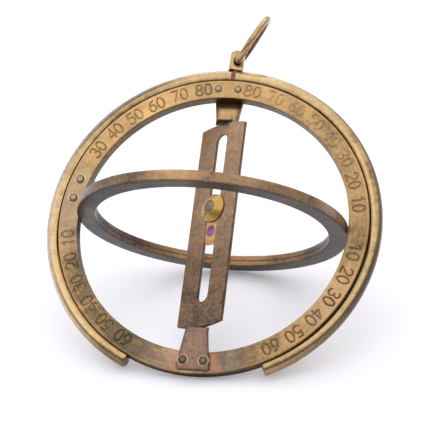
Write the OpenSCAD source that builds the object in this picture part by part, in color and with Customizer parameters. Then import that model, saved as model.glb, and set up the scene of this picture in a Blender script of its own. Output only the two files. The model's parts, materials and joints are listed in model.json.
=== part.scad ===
// Pocket ring dial, standing open on its hour ring.
// The pieces are drawn in dial axes: X along the hour ring's pivots, Y through the meridian ring
// from front to back, Z along the polar axis. stand() then leans the open dial onto the table.

/* [Meridian ring] */
// Diameter over the rim
meridian_rim_d = 66.2; // [62:0.1:74]
// Width of the ring along the radius, from bore to rim
meridian_w = 4.55; // [4:0.05:5.2]
// Thickness from front face to back face
meridian_t = 2.7; // [2.5:0.1:3.6]
// Chamfer between face and rim, measured along the radius
rim_chamfer_w = 0.5; // [0.3:0.05:0.7]
// Chamfer between face and rim, measured through the thickness
rim_chamfer_t = 0.4; // [0.2:0.05:0.4]
// Broken edge of the bores of both rings
edge_break = 0.12; // [0.05:0.01:0.2]

/* [Suspension arc] */
// Diameter of the round rod
arc_rod_d = 2.6; // [2.2:0.1:3]
// Depth of the groove in the rim that the rod runs in
groove_depth = 0.3; // [0.2:0.05:0.4]
// Running clearance between rod and groove
arc_clearance = 0.05; // [0.02:0.01:0.1]
// Opening between the two ends of the arc, in degrees
arc_gap_angle = 48.7; // [30:0.1:80]
// Chamfer on the ends of the rod
arc_end_chamfer = 0.45; // [0.1:0.05:0.5]
// Length of the red index mark along the rod
index_mark_l = 1; // [0.8:0.1:2]
// Depth of the notch that the red mark fills
index_mark_t = 0.12; // [0.08:0.01:0.2]
// Angle round the rod between its outer side and the start of the red mark, in degrees
index_mark_from_angle = 35; // [33:1:60]

/* [Shackle] */
// Angle of the shackle off the middle of the arc, in degrees
shackle_offset_angle = 1.3; // [-5:0.1:5]
// Turn of the shackle on its spigot, in degrees
shackle_turn_angle = 21; // [-90:1:90]
// Diameter of the post
post_d = 3.2; // [3:0.1:4]
// Thickness across the flats of the post
post_flat_t = 2.2; // [2:0.1:2.4]
// Height of the post above the rod
post_h = 4.6; // [4.2:0.1:6]
// Chamfer round the top of the post
post_chamfer = 0.45; // [0.2:0.05:0.6]
// Height of the cross hole above the foot of the post
post_hole_h = 1.87; // [1.5:0.01:2.2]
// Diameter of the cross hole
post_hole_d = 1.8; // [1.7:0.05:2]
// Diameter of the spigot under the post
spigot_d = 1.1; // [0.9:0.1:1.2]
// Diameter of the spigot's riveted end
spigot_head_d = 1.5; // [1.3:0.1:1.6]
// Thickness of the spigot's riveted end
spigot_head_t = 0.25; // [0.2:0.05:0.3]
// How far the riveted end lies below the inner side of the rod
spigot_inset = 0.1; // [0.05:0.01:0.15]

/* [Suspension ring] */
// Diameter of the ring at the middle of its wire
suspension_ring_d = 12.5; // [11:0.1:16]
// Diameter of the wire
suspension_wire_d = 1.4; // [1:0.05:1.45]
// Lean of the ring from the line of the post, in degrees
suspension_lean_angle = 24; // [-90:1:90]

/* [Hour ring] */
// Running gap between the hour ring and the bore of the meridian ring
hour_clearance = 0.3; // [0.2:0.05:0.5]
// Width of the hour ring along the radius
hour_w = 3.85; // [3:0.05:4.5]
// Thickness of the hour ring
hour_t = 2.3; // [1.8:0.1:2.3]
// Angle between the two rings when the hour ring lies on its stop, in degrees
hour_open_angle = 93; // [90:0.5:95]
// Width of the scribed line round the inner side of the hour ring
hour_line_w = 0.25; // [0.1:0.05:0.4]
// Depth of the scribed line
hour_line_depth = 0.12; // [0.05:0.01:0.2]
// Diameter of the two pivot pins
pivot_d = 1.2; // [0.8:0.1:1.4]
// Wall left between a pivot hole and the bore of the hour ring
pivot_wall = 1.1; // [0.8:0.1:1.5]
// How far the pins end below the groove
pivot_inset = 0.2; // [0.1:0.05:0.4]

/* [Stop] */
// Thickness of the stop block behind the meridian ring
stop_t = 1.5; // [1.2:0.1:2]
// Reach of the stop block over the hour ring
stop_overhang = 2.2; // [1.5:0.1:3]
// Distance of the stop block from the edge of the face
stop_margin = 0.4; // [0.2:0.1:0.8]
// Angle of the middle of the stop's rivets above the pivots, in degrees
stop_rivet_angle = 11.4; // [10:0.1:14]
// Angle between the stop's two rivets, in degrees
stop_rivet_spread = 8.3; // [7:0.1:9]
// Angle of the upper end of the stop above the pivots, in degrees
stop_end_angle = 19.5; // [19:0.5:24]
// Angle above the pivots up to which the stop reaches over the hour ring, in degrees
stop_finger_angle = 7; // [6:0.5:9]
// Gap between the stop and the hour ring that lies on it
stop_gap = 0.02; // [0.01:0.01:0.05]

/* [Brackets] */
// Thickness of the bracket strip
bracket_t = 0.85; // [0.6:0.05:1]
// Width of a bracket at its foot on the meridian ring
bracket_foot_w = 7; // [6.5:0.1:9]
// Radius of the corners of a bracket's foot
bracket_foot_corner = 0.9; // [0.3:0.1:1.2]
// Width of a bracket at its bend
bracket_neck_w = 4.6; // [4:0.1:6]
// Width of a bracket at the end of its bent leg
bracket_tip_w = 3.5; // [3:0.1:4]
// Inside radius of the bend
bracket_bend_r = 0.35; // [0.3:0.05:0.5]
// Gap between the folded hour ring and the bent leg
bracket_fold_gap = 0.4; // [0.3:0.05:0.6]
// How far the bent leg reaches past the pivot
bracket_reach = 1.6; // [1.2:0.1:2.2]
// Cut corners at the end of the bent leg
bracket_corner = 0.4; // [0.2:0.1:0.8]

/* [Rivets] */
// Diameter of a rivet's shank
rivet_d = 1.1; // [0.9:0.1:1.2]
// Distance between the two rivets of a bracket
rivet_spacing = 4.26; // [3.6:0.02:4.6]
// Diameter of a rivet's domed head
rivet_head_d = 2; // [1.6:0.1:2.2]
// Height of a rivet's domed head
rivet_head_h = 0.45; // [0.3:0.05:0.6]
// Diameter of the flat hammered end of a rivet
rivet_tail_d = 1.7; // [1.4:0.1:2]
// Height of the flat hammered end of a rivet
rivet_tail_h = 0.25; // [0.15:0.05:0.4]
// Clearance round pins and rivets that are driven home
press_clearance = 0.01; // [0.01:0.01:0.03]

/* [Bridge] */
// Width of the bridge plate
bridge_w = 12.1; // [9:0.1:16]
// Thickness of the bridge plate
bridge_t = 0.8; // [0.7:0.05:1.2]
// Turn of the bridge about the polar axis, in degrees
bridge_turn_angle = -32.5; // [-90:0.5:90]
// Gap between the ends of the bridge and the brackets
bridge_end_gap = 0.2; // [0.1:0.05:0.4]
// Width of the slot
slot_w = 2.95; // [2.4:0.05:3.2]
// Wall above the slot
slot_wall_top = 2.55; // [1.5:0.05:5]
// Wall below the slot
slot_wall_bottom = 5.55; // [1.5:0.05:7]
// Diameter of the trunnions on the ends of the bridge
trunnion_d = 0.7; // [0.5:0.05:0.7]
// Running clearance of pivots, spigot and trunnions
pivot_clearance = 0.05; // [0.02:0.01:0.1]

/* [Cursor] */
// Height of the cursor's stud above the middle of the dial
cursor_z = 3.3; // [-6:0.1:16]
// Side clearance of the slide in the slot
slide_clearance = 0.05; // [0.02:0.01:0.1]
// Length of the slide below the stud
slide_tail_l = 8; // [7:0.1:9]
// Cut corners of the slide
slide_corner = 0.5; // [0.2:0.1:0.9]
// How far the slide lies below the face of the bridge
slide_recess = 0.1; // [0.05:0.05:0.3]
// Distance from the stud down to the pinhole
jewel_drop = 5.05; // [4.6:0.05:5.4]
// Diameter of the jewel
jewel_d = 2.2; // [1.6:0.1:2.2]
// Thickness of the jewel
jewel_t = 0.45; // [0.3:0.05:0.5]
// Diameter of the pinhole
pinhole_d = 0.4; // [0.3:0.05:0.6]
// Diameter of the light hole behind the jewel
light_hole_d = 1.2; // [0.8:0.1:1.4]
// Diameter of the knob
knob_d = 6.2; // [5:0.1:7]
// Height of the knob
knob_h = 1.3; // [1:0.1:1.8]
// Height of the knob's edge
knob_edge_h = 0.3; // [0.2:0.05:0.5]
// Diameter of the stud's front head
stud_head_d = 2.45; // [2:0.05:2.6]
// Depth of the stud's front head in the knob
stud_head_t = 0.4; // [0.3:0.05:0.6]
// Rise of the domed ends of the stud
stud_dome_h = 0.18; // [0.1:0.02:0.3]
// Diameter of the stud's shank
stud_d = 1.5; // [1.2:0.1:1.7]
// Diameter of the back plate
back_plate_d = 5.4; // [4.4:0.1:6]
// Thickness of the back plate
back_plate_t = 0.55; // [0.4:0.05:0.8]
// Space behind the bridge that the spring washer fills
spring_space = 0.5; // [0.4:0.05:0.8]
// Thickness of the spring washer
spring_t = 0.18; // [0.12:0.02:0.24]
// Diameter of the spring washer
spring_d = 5; // [4:0.1:5.2]
// Clearance of knob and spring washer on the bridge
cursor_gap = 0.05; // [0.02:0.01:0.1]

/* [Hidden] */
$fn = 96;
EPS = 0.01;

// Meridian ring
rim_r = meridian_rim_d / 2;
bore_r = rim_r - meridian_w;
face_r = rim_r - rim_chamfer_w;
face_y = meridian_t / 2;
rim_y = face_y - rim_chamfer_t;
rivet_circle_r = (face_r + bore_r) / 2;

// Suspension arc and shackle
rod_r = arc_rod_d / 2;
groove_r = rod_r + arc_clearance;
arc_r = rim_r - groove_depth + groove_r;
post_foot_r = arc_r + rod_r + pivot_clearance;
post_hole_r = post_foot_r + post_hole_h;
spigot_tip_r = arc_r - rod_r + spigot_inset;
suspension_r = suspension_ring_d / 2;
wire_r = suspension_wire_d / 2;

// Hour ring
hour_r = bore_r - hour_clearance;
hour_in_r = hour_r - hour_w;
hour_tilt = hour_open_angle - 90;
pivot_in_x = hour_in_r + pivot_wall;
pivot_out_x = rim_r - groove_depth - pivot_inset;

// Brackets: the bent leg lies inside the folded hour ring, and the bridge inside the bent legs
leg_out_z = hour_in_r - bracket_fold_gap;
leg_in_z = leg_out_z - bracket_t;
bend_out_r = bracket_bend_r + bracket_t;
bracket_out_y = face_y + bracket_t;

// Bridge and cursor
bridge_r = leg_in_z - bridge_end_gap;
slot_r = slot_w / 2;
slot_top_z = bridge_r - slot_wall_top - slot_r;
slot_bottom_z = -bridge_r + slot_wall_bottom + slot_r;
slide_r = slot_r - slide_clearance;
bridge_face = bridge_t / 2;
slide_face = bridge_face - slide_recess;
knob_foot = bridge_face + cursor_gap;
knob_top = knob_foot + knob_h;
stud_seat = knob_top - stud_head_t;
spring_face = -bridge_face - cursor_gap;
back_plate_face = -bridge_face - spring_space;
back_plate_back = back_plate_face - back_plate_t;

// The open dial rests on the lower back edge of the hour ring and on the foot of the meridian ring
hour_foot_y = hour_r * cos(hour_tilt) + hour_t / 2 * sin(hour_tilt);
hour_foot_z = hour_r * sin(hour_tilt) - hour_t / 2 * cos(hour_tilt);
lean_on_face = atan2(hour_foot_z + face_r, hour_foot_y - face_y);
lean_on_rim = atan2(hour_foot_z + rim_r, hour_foot_y - rim_y);
lean = max(lean_on_face, lean_on_rim);
lift = hour_foot_y * sin(lean) - hour_foot_z * cos(lean);

// Depth of the leaning dial, from the foot of the lower bracket to the top of the suspension ring
function turned_y(a, p) = [p.x * cos(a) + p.z * sin(a), p.y, p.z * cos(a) - p.x * sin(a)];
function turned_z(a, p) = [p.x * cos(a) - p.y * sin(a), p.x * sin(a) + p.y * cos(a), p.z];
function on_shackle(p) = turned_y(shackle_offset_angle, turned_z(shackle_turn_angle, p));
depth_axis = [0, cos(lean), sin(lean)];
loop_centre = on_shackle([
    suspension_r * sin(suspension_lean_angle),
    0,
    post_hole_r + suspension_r * cos(suspension_lean_angle)
]);
loop_axis = on_shackle([cos(suspension_lean_angle), 0, -sin(suspension_lean_angle)]);
loop_reach = suspension_r * sqrt(1 - pow(loop_axis * depth_axis, 2)) + wire_r;
depth_back = loop_centre * depth_axis + loop_reach;
depth_front = -bracket_out_y * cos(lean) - face_r * sin(lean);

// Leans the dial back and sets the middle of its footprint on the origin
module stand() {
    translate([0, -(depth_front + depth_back) / 2, lift])
        rotate([-lean, 0, 0])
            children();
}

// Turns a ring drawn about Z so that its axis runs along Y, with its start at +X and its turn downwards
module about_y() {
    rotate([-90, 0, 0])
        children();
}

// Places what is drawn on the front of the bridge: X across it, Y back through it, Z along it
module on_bridge() {
    rotate([0, 0, bridge_turn_angle])
        children();
}

// Places what turns about the cursor's stud: Z points out of the front of the bridge
module on_stud() {
    on_bridge()
        translate([0, 0, cursor_z])
            rotate([90, 0, 0])
                children();
}

// Places what is drawn on the shackle's own axis, with Z out along the post
module on_post() {
    rotate([0, shackle_offset_angle, 0])
        rotate([0, 0, shackle_turn_angle])
            children();
}

// Places what is drawn in the plane of the opened hour ring
module on_hour_ring() {
    rotate([hour_tilt, 0, 0])
        children();
}

// A round-topped head standing on XY
module dome(d, h) {
    ball_r = (d * d / 4 + h * h) / (2 * h);
    intersection() {
        translate([0, 0, h - ball_r])
            sphere(r = ball_r);
        cylinder(d = d + EPS, h = h + EPS);
    }
}

// A rivet along Y: its domed head stands at y = head_y, its hammered end at y = tail_y
module rivet(head_y, tail_y) {
    out = sign(head_y - tail_y);
    translate([0, (head_y + tail_y) / 2, 0])
        rotate([90, 0, 0])
            cylinder(d = rivet_d, h = abs(head_y - tail_y), center = true);
    translate([0, head_y, 0])
        rotate([-90 * out, 0, 0])
            dome(rivet_head_d, rivet_head_h);
    translate([0, tail_y, 0])
        rotate([90 * out, 0, 0])
            dome(rivet_tail_d, rivet_tail_h);
}

// Repeats a bracket's pair of rivets or rivet holes
module bracket_rivet_places() {
    for (side = [-1, 1])
        translate([side * rivet_spacing / 2, 0, rivet_circle_r])
            children();
}

// Repeats the stop's pair of rivets or rivet holes
module stop_rivet_places() {
    for (side = [-1, 1])
        rotate([0, stop_rivet_angle + side * stop_rivet_spread / 2, 0])
            translate([-rivet_circle_r, 0, 0])
                children();
}

// A rivet hole along Y, right through ring and bracket
module rivet_hole() {
    rotate([90, 0, 0])
        cylinder(d = rivet_d + 2 * press_clearance, h = 4 * bracket_out_y, center = true);
}

// The upper bracket is drawn on the back face, and the lower one is the same turned half round
module lower_end() {
    rotate([180, 0, 0])
        children();
}

module meridian_ring() {
    color("#b08d4f")
        difference() {
            about_y()
                rotate_extrude()
                    polygon([
                        [bore_r, -face_y + edge_break], [bore_r + edge_break, -face_y],
                        [face_r, -face_y], [rim_r, -rim_y],
                        [rim_r, rim_y], [face_r, face_y],
                        [bore_r + edge_break, face_y], [bore_r, face_y - edge_break]
                    ]);
            about_y()
                rotate_extrude()
                    translate([arc_r, 0])
                        circle(r = groove_r);
            rotate([0, 90, 0])
                cylinder(d = pivot_d + 2 * press_clearance, h = 3 * rim_r, center = true);
            bracket_rivet_places()
                rivet_hole();
            lower_end()
                bracket_rivet_places()
                    rivet_hole();
            stop_rivet_places()
                rivet_hole();
        }
}

// A pivot pin along X, driven through the meridian ring into the hour ring
module hour_pivot(side) {
    color("#9a7f4c")
        rotate([0, 90 * side, 0])
            translate([0, 0, pivot_in_x])
                cylinder(d = pivot_d, h = pivot_out_x - pivot_in_x);
}

module hour_pivot_left() {
    hour_pivot(-1);
}

module hour_pivot_right() {
    hour_pivot(1);
}

module stop_block() {
    stop_in_r = bore_r - stop_overhang;
    stop_out_r = face_r - stop_margin;
    color("#8f7650")
        difference() {
            intersection() {
                translate([0, face_y, 0])
                    about_y()
                        difference() {
                            cylinder(r = stop_out_r, h = stop_t);
                            translate([0, 0, -EPS])
                                cylinder(r = stop_in_r, h = stop_t + 2 * EPS);
                        }
                rotate([0, stop_end_angle, 0])
                    translate([-2 * rim_r, 0, -rim_r])
                        cube([2 * rim_r, rim_r, rim_r]);
            }
            on_hour_ring()
                translate([-2 * rim_r, -rim_r, -2 * rim_r + hour_t / 2 + stop_gap])
                    cube([2 * rim_r, 2 * rim_r, 2 * rim_r]);
            intersection() {
                translate([0, face_y - EPS, 0])
                    about_y()
                        cylinder(r = bore_r + stop_margin, h = stop_t + 2 * EPS);
                rotate([0, stop_finger_angle, 0])
                    translate([-2 * rim_r, 0, 0])
                        cube([2 * rim_r, rim_r, rim_r]);
            }
            stop_rivet_places()
                rivet_hole();
        }
}

module stop_rivets() {
    color("#a3875a")
        stop_rivet_places()
            rivet(face_y + stop_t, -face_y);
}

// One bent strip: its foot lies on the back face, its leg bends forward to the pivot
module bracket() {
    bend_y = bracket_out_y - bend_out_r;
    bend_z = leg_in_z + bend_out_r;
    difference() {
        intersection() {
            rotate([90, 0, 90])
                linear_extrude(height = 2 * bracket_foot_w, center = true) {
                    translate([face_y, bend_z])
                        square([bracket_t, face_r - bend_z]);
                    translate([-bracket_reach, leg_in_z])
                        square([bend_y + bracket_reach, bracket_t]);
                    intersection() {
                        translate([bend_y, bend_z])
                            difference() {
                                circle(r = bend_out_r);
                                circle(r = bracket_bend_r);
                            }
                        translate([bend_y, leg_in_z])
                            square([bend_out_r, bend_out_r]);
                    }
                }
            rotate([90, 0, 0])
                linear_extrude(height = 4 * bracket_out_y, center = true)
                    difference() {
                        polygon([
                            [-bracket_neck_w / 2, leg_in_z], [bracket_neck_w / 2, leg_in_z],
                            [bracket_neck_w / 2, leg_out_z], [bracket_foot_w / 2, face_r],
                            [-bracket_foot_w / 2, face_r], [-bracket_neck_w / 2, leg_out_z]
                        ]);
                        for (side = [0, 1])
                            mirror([side, 0])
                                translate([bracket_foot_w / 2, face_r])
                                    translate([-bracket_foot_corner, -bracket_foot_corner])
                                        difference() {
                                            square(2 * bracket_foot_corner);
                                            circle(r = bracket_foot_corner);
                                        }
                    }
            linear_extrude(height = rim_r)
                polygon([
                    [-bracket_tip_w / 2 + bracket_corner, -bracket_reach],
                    [bracket_tip_w / 2 - bracket_corner, -bracket_reach],
                    [bracket_tip_w / 2, -bracket_reach + bracket_corner],
                    [bracket_neck_w / 2, bend_y],
                    [bracket_foot_w, bend_y],
                    [bracket_foot_w, bracket_out_y],
                    [-bracket_foot_w, bracket_out_y],
                    [-bracket_foot_w, bend_y],
                    [-bracket_neck_w / 2, bend_y],
                    [-bracket_tip_w / 2, -bracket_reach + bracket_corner]
                ]);
        }
        cylinder(d = trunnion_d + 2 * pivot_clearance, h = rim_r);
        bracket_rivet_places()
            rivet_hole();
    }
}

module upper_bracket() {
    color("#8a6f4c")
        bracket();
}

module upper_bracket_rivets() {
    color("#a3875a")
        bracket_rivet_places()
            rivet(bracket_out_y, -face_y);
}

module lower_bracket() {
    color("#8a6f4c")
        lower_end()
            bracket();
}

module lower_bracket_rivets() {
    color("#a3875a")
        lower_end()
            bracket_rivet_places()
                rivet(bracket_out_y, -face_y);
}

// A quarter band over the front of the rod, under the shackle
module index_band(inner_r, outer_r) {
    half_angle = asin(index_mark_l / 2 / arc_r);
    about_y()
        rotate([0, 0, -90 + shackle_offset_angle - half_angle])
            rotate_extrude(angle = 2 * half_angle)
                translate([arc_r, 0])
                    intersection() {
                        difference() {
                            circle(r = outer_r);
                            circle(r = inner_r);
                        }
                        rotate(-90 - index_mark_from_angle)
                            square(2 * rod_r);
                    }
}

// The sliver that leaves a chamfer round the end of the rod, drawn about the rod's axis
module arc_end_cut() {
    rotate_extrude()
        polygon([
            [rod_r - arc_end_chamfer, 0], [rod_r + arc_end_chamfer, 2 * arc_end_chamfer],
            [rod_r + arc_end_chamfer, -arc_end_chamfer], [rod_r - arc_end_chamfer, -arc_end_chamfer]
        ]);
}

module suspension_arc() {
    color("#c9a04e")
        difference() {
            about_y()
                rotate([0, 0, 90 + arc_gap_angle / 2])
                    rotate_extrude(angle = 360 - arc_gap_angle)
                        translate([arc_r, 0])
                            circle(r = rod_r);
            for (side = [-1, 1])
                rotate([0, side * arc_gap_angle / 2, 0])
                    translate([0, 0, -arc_r])
                        rotate([0, -90 * side, 0])
                            arc_end_cut();
            index_band(rod_r - index_mark_t, 2 * rod_r);
            on_post() {
                cylinder(d = spigot_d + 2 * pivot_clearance, h = post_foot_r);
                cylinder(
                    d = spigot_head_d + 2 * pivot_clearance,
                    h = spigot_tip_r + spigot_head_t + pivot_clearance
                );
            }
        }
}

module index_mark() {
    color("#a8482f")
        index_band(rod_r - index_mark_t, rod_r);
}

module shackle_post() {
    color("#c2994c")
        on_post() {
            difference() {
                intersection() {
                    translate([0, 0, post_foot_r])
                        rotate_extrude()
                            polygon([
                                [0, 0], [post_d / 2, 0], [post_d / 2, post_h - post_chamfer],
                                [post_d / 2 - post_chamfer, post_h], [0, post_h]
                            ]);
                    translate([-post_d, -post_flat_t / 2, post_foot_r])
                        cube([2 * post_d, post_flat_t, post_h]);
                }
                translate([0, 0, post_hole_r])
                    rotate([90, 0, 0])
                        cylinder(d = post_hole_d, h = 2 * post_d, center = true);
            }
            translate([0, 0, spigot_tip_r])
                cylinder(d = spigot_d, h = post_foot_r - spigot_tip_r + EPS);
            translate([0, 0, spigot_tip_r])
                cylinder(d = spigot_head_d, h = spigot_head_t);
        }
}

module suspension_ring() {
    color("#c4a158")
        on_post()
            translate([0, 0, post_hole_r])
                rotate([0, suspension_lean_angle, 0])
                    translate([0, 0, suspension_r])
                        rotate([0, 90, 0])
                            rotate_extrude()
                                translate([suspension_r, 0])
                                    circle(r = wire_r);
}

module hour_ring() {
    half = hour_t / 2;
    color("#94754c")
        on_hour_ring()
            difference() {
                rotate_extrude()
                    polygon([
                        [hour_in_r, -half + edge_break], [hour_in_r + edge_break, -half],
                        [hour_r - edge_break, -half], [hour_r, -half + edge_break],
                        [hour_r, half - edge_break], [hour_r - edge_break, half],
                        [hour_in_r + edge_break, half], [hour_in_r, half - edge_break],
                        [hour_in_r, hour_line_w / 2], [hour_in_r + hour_line_depth, 0],
                        [hour_in_r, -hour_line_w / 2]
                    ]);
                for (side = [-1, 1])
                    rotate([0, 90 * side, 0])
                        translate([0, 0, pivot_in_x - pivot_clearance])
                            cylinder(d = pivot_d + 2 * pivot_clearance, h = hour_w);
            }
}

module bridge_plate() {
    color("#8a6b50")
        on_bridge() {
            rotate([90, 0, 0])
                linear_extrude(height = bridge_t, center = true)
                    difference() {
                        intersection() {
                            circle(r = bridge_r);
                            square([bridge_w, 3 * bridge_r], center = true);
                        }
                        translate([-slot_r, slot_bottom_z])
                            square([slot_w, slot_top_z - slot_bottom_z]);
                        for (end_z = [slot_bottom_z, slot_top_z])
                            translate([0, end_z])
                                circle(r = slot_r);
                    }
            for (side = [0, 180])
                rotate([side, 0, 0])
                    translate([0, 0, bridge_r - trunnion_d])
                        cylinder(d = trunnion_d, h = leg_out_z - bridge_r + trunnion_d - pivot_clearance);
        }
}

module cursor_slide() {
    color("#d0a266")
        on_stud()
            difference() {
                translate([0, 0, -bridge_face])
                    linear_extrude(height = slide_face + bridge_face)
                        polygon([
                            [slide_corner - slide_r, slide_r], [slide_r - slide_corner, slide_r],
                            [slide_r, slide_r - slide_corner],
                            [slide_r, slide_corner - slide_tail_l],
                            [slide_r - slide_corner, -slide_tail_l],
                            [slide_corner - slide_r, -slide_tail_l],
                            [-slide_r, slide_corner - slide_tail_l],
                            [-slide_r, slide_r - slide_corner]
                        ]);
                cylinder(d = stud_d + 2 * press_clearance, h = 4 * bridge_t, center = true);
                translate([0, -jewel_drop, 0])
                    cylinder(d = light_hole_d, h = 4 * bridge_t, center = true);
                translate([0, -jewel_drop, slide_face - jewel_t])
                    cylinder(d = jewel_d + 2 * press_clearance, h = bridge_t);
            }
}

// A watch jewel with a cupped face round the pinhole
module pinhole_jewel() {
    cup_r = 0.7 * jewel_d;
    cup_depth = jewel_t / 3;
    color("#a02c86")
        on_stud()
            translate([0, -jewel_drop, slide_face - jewel_t])
                difference() {
                    cylinder(d = jewel_d, h = jewel_t);
                    cylinder(d = pinhole_d, h = 3 * jewel_t, center = true);
                    translate([0, 0, jewel_t + cup_r - cup_depth])
                        sphere(r = cup_r);
                }
}

module cursor_knob() {
    crown_r = stud_head_d / 2 + 0.3 * (knob_d - stud_head_d) / 2;
    color("#d8b05a")
        on_stud()
            difference() {
                union() {
                    translate([0, 0, knob_foot])
                        cylinder(d = knob_d, h = knob_edge_h);
                    translate([0, 0, knob_foot + knob_edge_h])
                        cylinder(d1 = knob_d, d2 = 2 * crown_r, h = knob_h - knob_edge_h);
                    translate([0, 0, slide_face])
                        cylinder(r = slide_r, h = knob_foot - slide_face + EPS);
                }
                cylinder(d = stud_d + 2 * press_clearance, h = 4 * knob_h, center = true);
                translate([0, 0, stud_seat])
                    cylinder(d = stud_head_d + 2 * press_clearance, h = knob_h);
            }
}

module cursor_stud() {
    color("#6a6560")
        on_stud() {
            translate([0, 0, back_plate_back])
                cylinder(d = stud_d, h = stud_seat - back_plate_back);
            translate([0, 0, stud_seat])
                cylinder(d = stud_head_d, h = stud_head_t);
            translate([0, 0, knob_top])
                dome(stud_head_d, stud_dome_h);
            translate([0, 0, back_plate_back])
                mirror([0, 0, 1])
                    dome(stud_head_d, stud_dome_h);
        }
}

module cursor_back_plate() {
    color("#8a6b50")
        on_stud()
            difference() {
                translate([0, 0, back_plate_back])
                    cylinder(d = back_plate_d, h = back_plate_t);
                cylinder(d = stud_d + 2 * press_clearance, h = 6 * bridge_t, center = true);
            }
}

// A dished washer that presses the back plate away from the bridge
module cursor_spring() {
    hole_r = stud_d / 2 + cursor_gap;
    color("#b7a06a")
        on_stud()
            rotate_extrude()
                polygon([
                    [hole_r, back_plate_face], [spring_d / 2, spring_face - spring_t],
                    [spring_d / 2, spring_face], [hole_r, back_plate_face + spring_t]
                ]);
}

stand() meridian_ring();
stand() hour_pivot_left();
stand() hour_pivot_right();
stand() stop_block();
stand() stop_rivets();
stand() upper_bracket();
stand() upper_bracket_rivets();
stand() lower_bracket();
stand() lower_bracket_rivets();
stand() suspension_arc();
stand() index_mark();
stand() shackle_post();
stand() suspension_ring();
stand() hour_ring();
stand() bridge_plate();
stand() cursor_slide();
stand() pinhole_jewel();
stand() cursor_knob();
stand() cursor_stud();
stand() cursor_back_plate();
stand() cursor_spring();
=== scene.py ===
"""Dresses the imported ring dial: aged brass, struck figures, a pale studio and the camera.

Sizes are in millimetres and in dial axes, as in the part's source: X along the hour ring's pivots, Y through
the meridian ring from front to back, Z along the polar axis. Meshes are placed in the row frame, in metres.
"""

import json
import logging
import math
from dataclasses import dataclass, field
from enum import Enum
from functools import partial
from typing import Any, Callable, Iterable, Sequence

import bmesh
import bpy
import numpy as np
from mathutils import Matrix, Vector


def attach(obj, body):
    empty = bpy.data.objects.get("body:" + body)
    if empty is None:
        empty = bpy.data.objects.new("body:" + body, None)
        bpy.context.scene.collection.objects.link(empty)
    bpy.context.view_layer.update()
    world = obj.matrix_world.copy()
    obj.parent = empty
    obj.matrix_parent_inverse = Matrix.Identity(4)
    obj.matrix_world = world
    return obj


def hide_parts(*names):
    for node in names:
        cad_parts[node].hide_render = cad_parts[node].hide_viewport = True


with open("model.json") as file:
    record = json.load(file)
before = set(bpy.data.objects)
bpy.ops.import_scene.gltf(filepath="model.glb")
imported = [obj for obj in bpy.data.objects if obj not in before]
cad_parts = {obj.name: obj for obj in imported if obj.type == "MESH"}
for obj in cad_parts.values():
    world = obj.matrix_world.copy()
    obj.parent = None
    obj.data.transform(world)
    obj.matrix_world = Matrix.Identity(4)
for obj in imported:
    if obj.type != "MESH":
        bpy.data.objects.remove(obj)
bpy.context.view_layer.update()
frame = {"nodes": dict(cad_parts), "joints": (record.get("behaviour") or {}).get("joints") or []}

LOG = logging.getLogger("ring_dial")
MM = 0.001
IMAGE_PX = 432
RUN = "run"
ON_AXIS = 1e-6
MERGE_MM = 0.0005
CREASE_DEG = 32.0
EASED_CREASE_DEG = 30.0
FLAT_DEG = 0.5
SHARP_DEG = 40.0

Flat = tuple[float, float]
Face = tuple[int, ...]
# Soft spots round a ring: the middle and spread of each in degrees, and its amount.
Spots = Sequence[tuple[float, float, float]]
Adder = Callable[..., bpy.types.NodeSocket]


class Body(Enum):
    """The bodies of the frame that pieces ride on."""

    MERIDIAN = "meridian"
    ARC = "arc"
    SHACKLE = "shackle"
    LOOP = "loop"
    HOURS = "hours"
    BRIDGE = "bridge"
    CURSOR = "cursor"


class Slot(Enum):
    """The material slots of the record."""

    MERIDIAN = "meridian_brass"
    HOURS = "hour_brass"
    BRONZED = "bronzed_brass"
    POLISHED = "polished_brass"
    FITTING = "fitting_brass"
    CURSOR = "cursor_brass"
    STEEL = "blued_steel"
    RUBY = "ruby"
    ENAMEL = "red_enamel"


class Mark(Enum):
    """Numbers kept at a mesh's points for its material to read: wear, dirt and bloom, with painted
    highlights, shade and reflections among them.
    """

    # The wear attribute: rubbing, and painted highlights on the ring's chamfer and on rivet domes.
    WEAR = "wear"
    # The grime attribute: dirt, and painted shade in gaps, under parts and at edges.
    GRIME = "grime"
    # The pale attribute: bloom, and painted white reflection along the rod.
    PALE = "pale"
    FLUSH = "flush"


def linear(hex_colour: str) -> tuple[float, float, float, float]:
    """Turns an sRGB hex colour into linear light.

    Args:
        hex_colour: Colour such as "#b08d4f".

    Returns:
        Red, green, blue and alpha, each from 0 to 1.
    """
    parts = [int(hex_colour[i : i + 2], 16) / 255 for i in (1, 3, 5)]
    values = [c / 12.92 if c <= 0.04045 else ((c + 0.055) / 1.055) ** 2.4 for c in parts]
    return values[0], values[1], values[2], 1.0


def add_node(
    tree: bpy.types.NodeTree,
    kind: str,
    settings: dict[Any, Any] | None = None,
    links: dict[Any, bpy.types.NodeSocket] | None = None,
    out: int | str = 0,
) -> bpy.types.NodeSocket:
    """Adds a node with its settings and links.

    Args:
        tree: Node tree that gets the node.
        kind: Blender's name of the node type, after "ShaderNode".
        settings: Values by property name, input name or input number.
        links: Source sockets by input name or input number.
        out: Name or number of the output that is wanted.

    Returns:
        That output of the new node.
    """
    node = tree.nodes.new("ShaderNode" + kind)
    for name, value in (settings or {}).items():
        if isinstance(name, str) and hasattr(node, name):
            setattr(node, name, value)
        else:
            node.inputs[name].default_value = value
    for name, source in (links or {}).items():
        tree.links.new(source, node.inputs[name])
    return node.outputs[out]


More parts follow.
